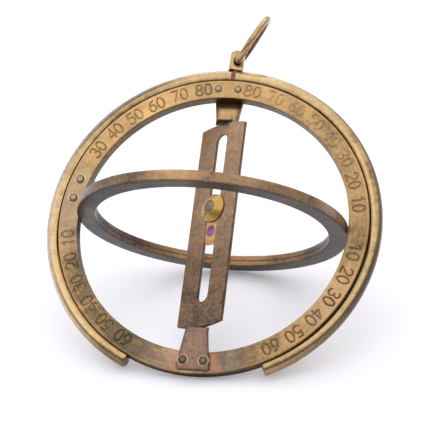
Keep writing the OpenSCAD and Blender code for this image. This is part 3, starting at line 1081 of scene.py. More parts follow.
@dataclass
class Meridian:
    """The flat meridian ring with its grooved rim, figures, stop, brackets and rivets."""

    rim_r: float = 33.1
    bore_r: float = 28.55
    face_r: float = 32.6
    half_t: float = 1.35
    rim_half: float = 0.95
    groove_centre_r: float = 34.15
    groove_r: float = 1.35
    bore_ease: float = 0.14
    chamfer_z: float = 0.8
    groove_z: float = 0.84
    steps: int = 1800
    figure_h: float = 2.55
    figure_pitch: float = 1.95
    figure_r: float = 30.6
    figure_play: float = 0.12
    blow_seed: int = 7
    tick_step_deg: float = 2.5
    rivet_r: float = 30.575
    rivet_half_spacing: float = 2.13
    stop_rivet_angles: Flat = (172.75, 164.45)
    stop_deg: float = 168.0
    stop_t: float = 1.5
    bracket_t: float = 0.85
    bracket_foot: float = 23.4
    node_ease: float = 0.1
    pivot_ease: float = 0.05
    rubbed: Spots = (
        (124, 16, 0.4), (148, 14, 0.12), (178, 10, -0.17), (200, 12, -0.3), (222, 18, -0.36),
        (244, 14, -0.5), (262, 5, -0.08), (281, 12, -0.54), (302, 10, -0.1), (332, 18, 0.36),
        (1, 9, -0.36), (40, 9, -0.28), (85, 22, 0.07),
    )
    bloomed: Spots = ((176, 16, 0.9), (258, 8, 0.5), (284, 4, 0.7), (325, 10, 0.3))
    heated: Spots = ((262.5, 2.5, 0.9), (277.5, 2.2, 1.1), (328, 14, 0.4), (8, 12, 0.3))
    rim_dirt: Spots = ((325, 36, 1.2), (10, 24, 0.7), (228, 18, 0.6))
    rim_clean: Spots = ((112, 40, 0.8), (45, 22, 0.56))
    figure_dirt: Spots = ((330, 25, 0.7), (110, 22, 0.3), (52, 28, -0.5), (215, 35, -0.1))
    figure_loss: Spots = ((52, 28, 0.3),)

    def profile(self) -> list[Flat]:
        """Draws the ring's section, its edges eased by a few hundredths.

        Returns:
            Points as radius and height, front up.
        """
        t, b, ease = self.half_t, self.bore_r, self.bore_ease
        front = [(b, t - ease), (b + 0.3 * ease, t - 0.3 * ease)]
        front += spaced((b + ease, t), (self.face_r - 0.06, t), 0.1)
        front += [(self.face_r - 0.01, t - 0.02)]
        front += spaced((self.face_r + 0.06, t - 0.07), (self.rim_r - 0.08, self.rim_half + 0.06), 0.08)
        front += [(self.rim_r - 0.01, self.rim_half)]
        half_groove = math.sqrt(self.groove_r**2 - (self.groove_centre_r - self.rim_r) ** 2)
        rows = np.linspace(half_groove, -half_groove, 11)
        groove = [(self.groove_centre_r - math.sqrt(self.groove_r**2 - z * z), z) for z in rows]
        behind = [(self.rim_r - 0.01, -self.rim_half), (self.rim_r - 0.08, -self.rim_half - 0.06)]
        behind += [(self.face_r + 0.06, -t + 0.07), (self.face_r - 0.01, -t + 0.02)]
        behind += spaced((self.face_r - 0.06, -t), (b + ease, -t), 0.2)
        behind += [(b + 0.3 * ease, -t + 0.3 * ease)]
        bore = spaced((b, -t + ease), (b, t - ease), 0.45)[:-1]
        return front + groove + behind + bore

    def ring(self, axes: Axes, finishes: Finishes) -> None:
        """Builds the ring with its struck scale.

        Args:
            axes: The dial's axes, facing front.
            finishes: The materials.
        """
        surface = revolve(self.profile(), self.steps)
        depth = np.abs(surface.points[:, 2])
        radii, angles = surface.polar()
        on_chamfer = depth > self.chamfer_z
        # Painted highlight along the chamfer's outer edge, partly rubbing: that edge is made brighter all
        # round.
        edge = 0.8 * bell(radii, self.face_r + 0.06, 0.12) * on_chamfer
        surface.marks[Mark.WEAR] = spots_at(angles, self.rubbed) - 0.08 + edge
        surface.marks[Mark.PALE] = spots_at(angles, self.bloomed)
        surface.marks[Mark.FLUSH] = spots_at(angles, self.heated)
        # Painted shade in the gap between the ring and the rod, with the dirt there: a wide dark band on the
        # chamfer at some angles, a thin line at the rim and in the groove, less dark at other angles.
        clean = 1 - spots_at(angles, self.rim_clean)
        wide = ramp(radii, self.face_r + 0.18, self.face_r + 0.3) * spots_at(angles, self.rim_dirt)
        thin = ramp(radii, self.rim_r - 0.06, self.rim_r - 0.02) * 0.85 * clean
        rim = np.clip(np.maximum(wide, thin), 0, 1) * on_chamfer
        # Painted shade: the bore is darkened all round, where it faces the shaded paper.
        inner = ramp(radii, self.bore_r + 0.12, self.bore_r + 0.02) * 0.85
        groove = ramp(radii, self.rim_r - 0.02, self.rim_r - 0.12) * (depth < self.groove_z) * 0.9 * clean
        surface.mark(Mark.GRIME, np.maximum.reduce([inner, groove, rim]))
        self.strike_latitudes(RingFace(surface, self.half_t, 1.0, 0.6))
        self.strike_back(RingFace(surface, -self.half_t, -1.0, 0.6))
        make_piece("meridian_ring", "struck", surface, axes, Body.MERIDIAN, Slot.MERIDIAN, finishes.meridian)

    def strike_latitudes(self, face: RingFace) -> None:
        """Strikes degrees of latitude round the front by uneven blows, clear of rivets and brackets.

        Args:
            face: The front face.
        """
        rng = np.random.default_rng(self.blow_seed)
        for quarter in range(4):
            for latitude in range(10, 90, 10):
                angle = quarter * 90 + (latitude if quarter % 2 == 0 else 90 - latitude)
                if abs(angle - self.stop_deg) < 9 or abs(angle - 270) < 24:
                    continue
                here = np.array([angle])
                blow = float(rng.uniform(0.75, 1.0)) * (1 - spots_at(here, self.figure_loss)[0])
                radius = self.figure_r + float(rng.uniform(-self.figure_play, self.figure_play))
                soil = 0.75 + spots_at(here, self.figure_dirt)[0]
                word = Figures.word(str(latitude), self.figure_h, self.figure_pitch)
                face.strike(angle, radius, word, Punch(), blow, soil)

    def strike_back(self, face: RingFace) -> None:
        """Cuts a scale of degrees round the back, clear of the stop and the upper bracket.

        Args:
            face: The back face.
        """
        cutter = Punch(width=0.2, depth=0.1, soft=0.09)
        for step in range(round(360 / self.tick_step_deg)):
            angle = step * self.tick_step_deg
            if abs(angle - self.stop_deg) < 14 or abs(angle - 90) < 9:
                continue
            line = [np.array([[0.0, 0.0], [0.0, -1.5 if step % 4 == 0 else -0.8]])]
            face.strike(angle, self.face_r - 0.35, line, cutter, 0.8)

    def rivets(self) -> list[Rivets]:
        """Places the rivets of both brackets and of the stop.

        Returns:
            The three pairs.
        """
        t, r, half = self.half_t, self.rivet_r, self.rivet_half_spacing
        upper, lower = [(-half, r), (half, r)], [(-half, -r), (half, -r)]
        stop = [(r * math.cos(a), r * math.sin(a)) for a in np.radians(self.stop_rivet_angles)]
        return [
            Rivets("upper_bracket_rivets", upper, t, -t - self.bracket_t, 0.66, 0.94, 0.0),
            Rivets("lower_bracket_rivets", lower, t + self.bracket_t, -t, 0.72, 1.2, 0.45),
            Rivets("stop_rivets", stop, t, -t - self.stop_t, 0.74, 1.2, 0.0),
        ]

    def bracket_marks(self, points: np.ndarray) -> dict[Mark, np.ndarray]:
        """Marks a bracket: rubbed where it stands clear of the ring, with painted shade under its leg, under
        the ring and along its sides and edges.

        Args:
            points: Points in dial axes, facing front.

        Returns:
            Wear, painted shade, bloom and heat.
        """
        x, y, _ = points.T
        side, high = np.abs(x), np.abs(y)
        upper, lower = y > 0, y < 0
        clear = bell(high, 26.4, 0.8) * upper
        # Painted shade: under the leg, at the top in the ring's shadow, along the upper neck's sides and
        # round the lower bracket's edges.
        under = ramp(high, self.bracket_foot, self.bracket_foot - 0.15)
        shade = ramp(high, 27.1, 27.5) * upper
        sides = ramp(side, 1.7, 2.0) * upper
        halo = bell(np.hypot(side - self.rivet_half_spacing, high - self.rivet_r), 1.6, 0.3) * lower
        to_edge = np.minimum(2.3 + 0.14 * (high - 24.0) - side, self.face_r - high)
        rim = ramp(to_edge, 0.5, 0.0) * lower
        return {
            Mark.WEAR: 0.66 * clear - 0.2 + 0.2 * halo,
            Mark.GRIME: np.maximum.reduce([0.95 * under, 0.85 * shade, 0.7 * sides, 0.8 * rim]),
            Mark.PALE: 0.55 * lower,
            Mark.FLUSH: 0.9 * halo + 0.3 * lower + 0.7 * clear,
        }

    def build(self, dial: Axes, finishes: Finishes) -> None:
        """Builds everything on the meridian body.

        Args:
            dial: The dial's axes.
            finishes: The materials.
        """
        front = dial.facing_front()
        self.ring(front, finishes)
        for pair in self.rivets():
            pair.build(front, finishes)
        ease, body = self.node_ease, Body.MERIDIAN
        for node, finish in (("upper_bracket", finishes.meridian), ("lower_bracket", finishes.bronzed)):
            eased_node(node, body, Slot.BRONZED, finish, ease, 0.3, self.bracket_marks, front)
        eased_node("stop_block", body, Slot.BRONZED, finishes.bronzed, ease)
        for node in ("hour_pivot_left", "hour_pivot_right"):
            eased_node(node, body, Slot.FITTING, finishes.fitting, self.pivot_ease)


@dataclass
class Suspension:
    """The rod that slides round the rim, its red index, the swivelling post and the ring to hold it by."""

    arc_r: float = 34.15
    rod_r: float = 1.3
    rod_stops: int = 640
    gap_half_deg: float = 24.35
    end_ease: float = 0.45
    end_flat: float = 0.65
    crown_in: float = 0.3
    lip_reach: float = 0.24
    lip_play: float = 0.36
    lip_tight_deg: float = 122.0
    lip_tip: tuple[Flat, Flat] = ((-1.13, 1.35), (-1.08, 1.31))
    lip_root: Flat = (-1.05, 1.08)
    index_l: float = 1.0
    index_rows: tuple[int, int] = (4, 18)
    index_sizes: Flat = (1.02, 0.955)
    post_angle_deg: float = 1.3
    post_turn_deg: float = 21.0
    post_ease: float = 0.12
    hole_r: float = 37.37
    loop_r: float = 6.25
    wire_r: float = 0.7
    loop_lean_deg: float = 24.0
    # The first spots darken the rod's outer side, partly dirt and partly painted shade where it faces the
    # shaded paper; the next paint the shade in the gap at the lower right.
    dirt_outside: Spots = ((338, 42, 0.9), (241, 12, 0.8), (46, 24, 0.7))
    dirt_in_gap: Spots = ((328, 30, 1.1),)
    dirt_at_edge: Spots = ((85, 28, 0.45), (48, 22, 0.5))
    dirt_in_band: Spots = ((130, 22, 0.3),)
    rubbed: Spots = ((208, 34, 0.15), (132, 22, -0.2), (345, 30, -0.05))
    filmed: Spots = ((20, 22, -0.5), (134, 24, -1.3), (240, 9, -0.6), (302, 10, -0.45), (85, 12, 0.1))
    # Painted shade on the inner flank, so that the rod reads round.
    dull_flank: Spots = ((112, 40, -0.19), (56, 22, -0.25))
    # Painted white reflection along the outer side, and a pale bloom that is partly a painted reflection.
    chalked: Spots = ((138, 40, 1.35),)
    bloomed: Spots = ((186, 22, 0.8), (216, 12, 0.3), (142, 26, 0.6))

    def rod_outline(self, angle_deg: float) -> np.ndarray:
        """Gives the rod's section: pressed wider in the groove, its front hanging over the ring's chamfer.

        Args:
            angle_deg: Angle round the ring; the lip reaches further in at the upper left than at the right.

        Returns:
            Points outwards from the rod's middle and forwards, from the outside round by the front.
        """
        r, crown = self.rod_r, self.crown_in
        tight = math.cos(math.radians(angle_deg - self.lip_tight_deg))
        further = tight * (self.lip_reach if tight > 0 else self.lip_play)
        back = max(-further, 0.0)
        turns = np.radians([*np.linspace(0, 90, 12, endpoint=False), *np.linspace(90, 120, 6)])
        front = [((r + crown) * math.cos(a) - crown, (r + crown) * math.sin(a)) for a in turns]
        front += self.lip_tip
        shares = ramp(np.array(front)[:, 0], -crown, -crown - 0.8)
        front = [(across - further * share, forward) for (across, forward), share in zip(front, shares)]
        front += [(self.lip_root[0] + 0.9 * back, self.lip_root[1] - 0.8 * back)]
        front += [(-r * math.cos(a), r * math.sin(a)) for a in np.radians((40, 28, 14))]
        behind = [(across, -forward) for across, forward in reversed(front[1:])]
        return np.array([*front, (-r, 0.0), *behind])

    def rod_section(self, angle_deg: float, scale: float) -> np.ndarray:
        """Places the rod's section on the ring.

        Args:
            angle_deg: Angle round the ring.
            scale: Size of the section, less than 1 at the rod's ends.

        Returns:
            Points round the rod, in axes facing front.
        """
        a = math.radians(angle_deg)
        across, forward = (self.rod_outline(angle_deg) * scale).T
        radius = self.arc_r + across
        return np.column_stack([radius * math.cos(a), radius * math.sin(a), forward])

    def rod(self, axes: Axes, finishes: Finishes) -> None:
        """Builds the rod with eased ends.

        Args:
            axes: The dial's axes, facing front.
            finishes: The materials.
        """
        count = len(self.rod_outline(0.0))
        start, end = -90 + self.gap_half_deg, 270 - self.gap_half_deg
        ease = math.degrees(self.end_ease / self.arc_r)
        flat = self.end_flat
        rounding = [(ease * u, flat + (1 - flat) * math.sqrt(1 - (1 - u) ** 2)) for u in (0.0, 0.1, 0.3, 0.6)]
        stops = [(start, 0.8 * flat)] + [(start + along, scale) for along, scale in rounding]
        stops += [(a, 1.0) for a in np.linspace(start + ease, end - ease, self.rod_stops)]
        stops += [(end - along, scale) for along, scale in reversed(rounding)] + [(end, 0.8 * flat)]
        points = np.vstack([self.rod_section(a, s) for a, s in stops])
        last = len(points) - count
        caps = [tuple(range(count)), tuple(range(last + count - 1, last - 1, -1))]
        surface = Surface(points, grid_faces(len(stops), count, False, True) + caps)
        self.mark_rod(surface, np.repeat([scale for _, scale in stops], count))
        make_piece("suspension_arc", "drawn", surface, axes, Body.ARC, Slot.POLISHED, finishes.polished)

    def mark_rod(self, surface: Surface, scales: np.ndarray) -> None:
        """Marks the rod's dirt, wear and bloom, its painted shade and painted white reflection, and the run
        of its drawing.

        Args:
            surface: The rod.
            scales: The size of the rod's section at each point, less than 1 at its ends.
        """
        forward = surface.points[:, 2]
        radii, angles = surface.polar()
        outward = (radii - self.arc_r) / self.rod_r
        # Dirt, with painted shade in the gap and on the outer side.
        dirt = [
            ramp(outward, 0.3, 0.7) * spots_at(angles, self.dirt_outside),
            ramp(outward, -0.38, -0.53) * spots_at(angles, self.dirt_in_gap),
            ramp(outward, 0.84, 0.94) * (0.35 + spots_at(angles, self.dirt_at_edge)),
            bell(outward, 0.15, 0.28) * spots_at(angles, self.dirt_in_band),
            (scales < 1.0) * (0.5 + 0.4 * (scales < self.end_flat)),
        ]
        surface.marks[Mark.GRIME] = np.clip(np.maximum.reduce(dirt), 0, 1)
        crown = 0.3 * bell(outward, -0.25, 0.45) + spots_at(angles, self.rubbed)
        film = ramp(outward, -0.35, -0.05) * ramp(outward, 0.6, 0.35) * spots_at(angles, self.filmed)
        # Painted shade on the inner flank.
        flank_shading = ramp(outward, -0.35, -0.55) * spots_at(angles, self.dull_flank)
        surface.marks[Mark.WEAR] = crown + film + flank_shading
        # Painted white reflection on the outer side; the bloom is partly painted reflection.
        white_reflection = spots_at(angles, self.chalked) * ramp(outward, 0.15, 0.5)
        bloom = spots_at(angles, self.bloomed) * ramp(outward, -0.15, 0.15)
        surface.marks[Mark.PALE] = np.maximum(white_reflection, bloom) * ramp(forward, -0.1, 0.4)
        surface.run = np.column_stack([np.radians(angles) * self.arc_r, outward * self.rod_r, forward])

    def index(self, axes: Axes, finishes: Finishes) -> None:
        """Builds the red mark on the front of the rod.

        Args:
            axes: The dial's axes, facing front.
            finishes: The materials.
        """
        middle = 90 - self.post_angle_deg
        half = math.degrees(self.index_l / 2 / self.arc_r)
        first, last = self.index_rows
        strip = self.rod_outline(middle)[first:last]
        angles = np.radians(np.linspace(middle - half, middle + half, 9))
        sheets = []
        for size in self.index_sizes:
            radius = self.arc_r + size * strip[:, :1]
            forward = np.broadcast_to(size * strip[:, 1:], (len(strip), len(angles)))
            sheet = np.stack([radius * np.cos(angles), radius * np.sin(angles), forward], axis=-1)
            sheets.append(sheet.reshape(-1, 3))
        surface = thickened(*sheets, grid_faces(len(strip), len(angles), False, False))
        make_piece("index_mark", "enamel", surface, axes, Body.ARC, Slot.ENAMEL, finishes.enamel)

    def loop(self, post: Axes, finishes: Finishes) -> None:
        """Builds the ring to hold the dial by.

        Args:
            post: Axes of the post, Z outwards.
            finishes: The materials.
        """
        r, wire = self.loop_r, self.wire_r
        turns = np.linspace(0, 2 * math.pi, 28, endpoint=False)
        surface = revolve([(r + wire * math.cos(a), wire * math.sin(a)) for a in turns], 200)
        across = (surface.polar()[0] - r) / wire
        # Painted shade along the wire's inner side, where the two strands of the loop overlap in view.
        surface.marks[Mark.GRIME] = 0.7 * ramp(across, -0.2, -0.6)
        surface.marks[Mark.WEAR] = 0.25 * np.clip(across, 0, 1) - 0.4
        axes = post.moved(z=self.hole_r).turned(self.loop_lean_deg, "Y").moved(z=r).turned(90, "Y")
        make_piece("suspension_ring", "wire", surface, axes, Body.LOOP, Slot.POLISHED, finishes.polished)

    def build(self, dial: Axes, finishes: Finishes) -> None:
        """Builds the suspension.

        Args:
            dial: The dial's axes.
            finishes: The materials.
        """
        front = dial.facing_front()
        self.rod(front, finishes)
        self.index(front, finishes)
        eased_node("shackle_post", Body.SHACKLE, Slot.POLISHED, finishes.polished, self.post_ease)
        self.loop(dial.turned(self.post_angle_deg, "Y").turned(self.post_turn_deg, "Z"), finishes)


@dataclass
class HourRing:
    """The ring that opens across the meridian: turned outside, scribed inside, struck with hours on top."""

    outer_r: float = 28.25
    inner_r: float = 24.4
    half_t: float = 1.15
    ease: float = 0.13
    tilt_deg: float = 3.0
    line_w: float = 0.25
    line_depth: float = 0.12
    steps: int = 1200
    figure_h: float = 1.5
    figure_pitch: float = 1.15
    # Dirt on the underside, darkened further as painted shade where it faces the shaded paper; more behind
    # than in front.
    film_behind: float = 0.97
    film_before: float = 0.87
    rubbed: Spots = (
        (199, 7, 0.5), (228, 18, -0.45), (250, 6, -0.2), (267, 7, 0.5),
        (314, 9, 0.25), (85, 20, 0.2), (122, 14, 0.2),
    )
    bore_dull: Spots = ((28, 18, -0.6), (155, 18, -0.35), (174, 12, -0.8))
    bore_dirt: Spots = ((176, 14, 0.6), (5, 12, 0.4))
    # Painted shadow of the meridian ring on the hour ring beside each pivot.
    pivot_dirt: Spots = ((183, 6, 1.0), (357, 3, 0.8))
    bloomed: Spots = ((216, 16, 0.8),)

    def profile(self) -> list[Flat]:
        """Draws the ring's section.

        Returns:
            Points as radius and height, top up.
        """
        t, e, r, b = self.half_t, self.ease, self.outer_r, self.inner_r
        top = [(b, t - e), (b + 0.3 * e, t - 0.3 * e)] + spaced((b + e, t), (r - e, t), 0.14)
        outside = [(r - 0.3 * e, t - 0.3 * e)] + spaced((r, t - e), (r, -t + e), 0.4)
        under = [(r - 0.3 * e, -t + 0.3 * e)] + spaced((r - e, -t), (b + e, -t), 0.5)
        inside = [(b + 0.3 * e, -t + 0.3 * e)] + spaced((b, -t + e), (b, -self.line_w / 2), 0.3)
        inside += [(b + self.line_depth, 0.0)] + spaced((b, self.line_w / 2), (b, t - e), 0.3)[:-1]
        return top + outside + under + inside

    def mark(self, surface: Surface) -> None:
        """Marks the ring's dirt, wear and bloom, and its painted shade.

        Args:
            surface: The ring.
        """
        _, y, z = surface.points.T
        radii, angles = surface.polar()
        bore = radii < self.inner_r + 0.2
        outside = radii > self.outer_r - 0.2
        # Dirt and painted shade on the underside.
        thick = np.where(y > 0, self.film_behind, self.film_before)
        film = ramp(-z, self.half_t - self.ease, self.half_t) * thick
        in_line = (radii < self.inner_r + 1.5 * self.line_depth) & (np.abs(z) < self.line_w)
        scribed = ramp(radii, self.inner_r, self.inner_r + self.line_depth) * in_line
        # Painted shade: a thin dark line where the outer band meets the underside.
        corner = 0.6 * bell(z, 0.12 - self.half_t, 0.14) * (radii > self.outer_r - 0.08)
        dirt = [film, scribed, corner, bore * spots_at(angles, self.bore_dirt)]
        # Painted shadow of the meridian ring beside the pivots.
        dirt += [(radii > self.outer_r - 0.5) * spots_at(angles, self.pivot_dirt)]
        surface.mark(Mark.GRIME, np.maximum.reduce(dirt))
        edges = 0.15 * bell(np.abs(z), self.half_t, 0.2) * outside
        dull = bore * spots_at(angles, self.bore_dull)
        surface.marks[Mark.WEAR] = spots_at(angles, self.rubbed) + edges + dull
        surface.marks[Mark.PALE] = spots_at(angles, self.bloomed)

    def build(self, dial: Axes, finishes: Finishes) -> None:
        """Builds the ring.

        Args:
            dial: The dial's axes.
            finishes: The materials.
        """
        surface = revolve(self.profile(), self.steps)
        self.mark(surface)
        face = RingFace(surface, self.half_t, 1.0, 0.7)
        middle = (self.outer_r + self.inner_r) / 2
        punch, cutter = Punch(width=0.24, depth=0.1, soft=0.1), Punch(width=0.16, depth=0.08, soft=0.09)
        for hour in range(24):
            angle = 90 - hour * 15
            word = Figures.word(str((hour + 11) % 12 + 1), self.figure_h, self.figure_pitch)
            face.strike(angle, middle + 0.55, word, punch, 0.9)
            for part, length in ((0, 0.9), (5, 0.5), (10, 0.5)):
                line = [np.array([[0.0, 0.0], [0.0, length]])]
                face.strike(angle + part, self.inner_r + 0.2, line, cutter, 0.8)
        axes = dial.turned(self.tilt_deg, "X")
        make_piece("hour_ring", "turned", surface, axes, Body.HOURS, Slot.HOURS, finishes.hours)


@dataclass
class Bridge:
    """The slotted plate on its two trunnions, with a scale of days cut along the slot."""

    end_r: float = 22.95
    half_w: float = 6.05
    half_t: float = 0.4
    slot_r: float = 1.475
    slot_top: float = 18.925
    slot_bottom: float = -15.925
    slot_columns: int = 25
    turn_deg: float = -32.5
    ease: float = 0.12
    trunnion_r: float = 0.35
    trunnion_tip: float = 23.95
    trunnion_ease: float = 0.08
    trunnion_root: float = 0.3
    cell: float = 0.16
    scale_span: Flat = (-13.0, 11.0)
    scale_from: float = 1.9
    scratches: int = 46
    scratch_seed: int = 5
    edge_soil: float = 0.35

    def graded(self, start: float, end: float) -> np.ndarray:
        """Spaces places along a line, closer together near its ends.

        Args:
            start: The first place.
            end: The last place.

        Returns:
            The places.
        """
        edge = [0.0, 0.03, 0.07, self.ease]
        inner = spaced((start + self.ease, 0), (end - self.ease, 0), self.cell)
        places = [start + d for d in edge] + [p[0] for p in inner[1:-1]] + [end - d for d in reversed(edge)]
        return np.array(places)

    def sheet(self) -> tuple[np.ndarray, list[Face]]:
        """Lays out the plate.

        Returns:
            Points across and along the plate, and its faces.
        """
        outer = self.graded(self.slot_r, self.half_w)
        middle = self.slot_r * np.sin(np.radians(np.linspace(-90, 90, self.slot_columns)))[1:-1]
        across = np.concatenate([-outer[::-1], middle, outer])
        wide, left, right = len(across), len(outer) - 1, len(outer) + len(middle)
        dip = np.sqrt(np.maximum(self.slot_r**2 - np.minimum(np.abs(across), self.slot_r) ** 2, 0))
        end = np.sqrt(self.end_r**2 - across**2)
        rows: list[np.ndarray] = []
        blocks: list[int] = []
        for block, (lower, upper) in enumerate(
            (
                (-end, self.slot_bottom - dip),
                (np.full(wide, self.slot_bottom), np.full(wide, self.slot_top)),
                (self.slot_top + dip, end),
            )
        ):
            span = float(np.mean(upper - lower))
            for share in self.graded(0, span) / span:
                rows.append(lower + (upper - lower) * share)
                blocks.append(block)
        faces = []
        for face in grid_faces(len(rows), wide, False, False):
            i, j = divmod(face[0], wide)
            in_slot = blocks[i] == 1 and left <= j < right
            if blocks[i] == blocks[i + 1] and not in_slot:
                faces.append(face)
        return np.vstack([np.column_stack([across, row]) for row in rows]), faces

    def edge_distance(self, flat: np.ndarray) -> np.ndarray:
        """Measures how far points of the plate lie from its edges.

        Args:
            flat: Points across and along the plate.

        Returns:
            The distance from each point to the nearest edge.
        """
        s, z = flat.T
        beyond = np.maximum(np.maximum(z - self.slot_top, self.slot_bottom - z), 0)
        slot = np.hypot(s, beyond) - self.slot_r
        nearest = np.minimum.reduce([self.half_w - np.abs(s), self.end_r - np.hypot(s, z), slot])
        return np.clip(nearest, 0, None)

    def scale_and_scratches(self, flat: np.ndarray) -> tuple[np.ndarray, np.ndarray]:
        """Cuts the scale of days beside the slot, and the scratches that the cursor and pockets left.

        Args:
            flat: Points across and along the plate.

        Returns:
            The height of each point against the face, and its grime.
        """
        lines = []
        for z in np.arange(*self.scale_span, 1.0):
            far = self.scale_from + (1.3 if abs(z % 4) < 0.1 else 0.8)
            lines += [np.array([[side * self.scale_from, z], [side * far, z]]) for side in (-1, 1)]
        cutter = Punch(width=0.1, depth=0.04, soft=0.1, burr=0.008)
        height, grime = cutter.cut(distance_to_lines(flat, lines))
        grime = grime * 0.3
        scratch = Punch(width=0.05, depth=0.02, soft=0.09, burr=0.004)
        rng = np.random.default_rng(self.scratch_seed)
        for _ in range(self.scratches):
            start = np.array([rng.uniform(-6, 6), rng.uniform(-22, 22)])
            lean = rng.normal(0.0, 0.22)
            reach = rng.uniform(0.8, 5.0)
            line = np.array([start, start + reach * np.array([math.cos(lean), math.sin(lean)])])
            cut, soil = scratch.cut(distance_to_lines(flat, [line]))
            height += cut
            grime = np.maximum(grime, soil * rng.uniform(0.15, 0.5))
        return height, grime

    def trunnion(self, end: int) -> Surface:
        """Turns one trunnion.

        Args:
            end: 1 for the upper one, -1 for the lower one.

        Returns:
            The trunnion, in the plate's axes.
        """
        r, tip, ease = self.trunnion_r, self.trunnion_tip, self.trunnion_ease
        root = self.end_r - self.trunnion_root
        pin = revolve([(r, root), (r, tip - ease), (r - ease, tip), (0.0, tip), (0.0, root)], 24)
        pin.points = pin.points[:, [0, 2, 1]] * np.array([1, end, 1])
        return pin

    def build(self, dial: Axes, finishes: Finishes) -> None:
        """Builds the plate and its trunnions.

        Args:
            dial: The dial's axes.
            finishes: The materials.
        """
        flat, faces = self.sheet()
        near = np.clip(self.edge_distance(flat) / self.ease, 0, 1)
        fall = self.ease * 0.8 * (1 - np.sqrt(np.clip(1 - (1 - near) ** 2, 0, 1)))
        height, grime = self.scale_and_scratches(flat)
        front = np.column_stack([flat, self.half_t - fall + height])
        back = np.column_stack([flat, -self.half_t + fall])
        whole = thickened(front, back, faces)
        soil = np.concatenate([grime, np.zeros(len(flat))]) + np.tile(self.edge_soil * (1 - near), 2)
        # Points inside the slot carry no face, and are left out.
        used = np.unique(np.array([i for f in whole.faces for i in f]))
        order = np.full(len(whole.points), -1)
        order[used] = np.arange(len(used))
        plate = Surface(whole.points[used], [tuple(int(order[i]) for i in f) for f in whole.faces])
        up = plate.points[:, 1]
        plate.marks[Mark.GRIME] = soil[used]
        plate.marks[Mark.WEAR] = 0.04 + 0.011 * up + 0.14 * bell(up, 0.0, 6.0) - 0.1 * ramp(up, -14.0, -15.0)
        plate = plate.joined(self.trunnion(1)).joined(self.trunnion(-1))
        axes = dial.turned(self.turn_deg, "Z").facing_front()
        make_piece("bridge_plate", "scaled", plate, axes, Body.BRIDGE, Slot.BRONZED, finishes.bronzed)


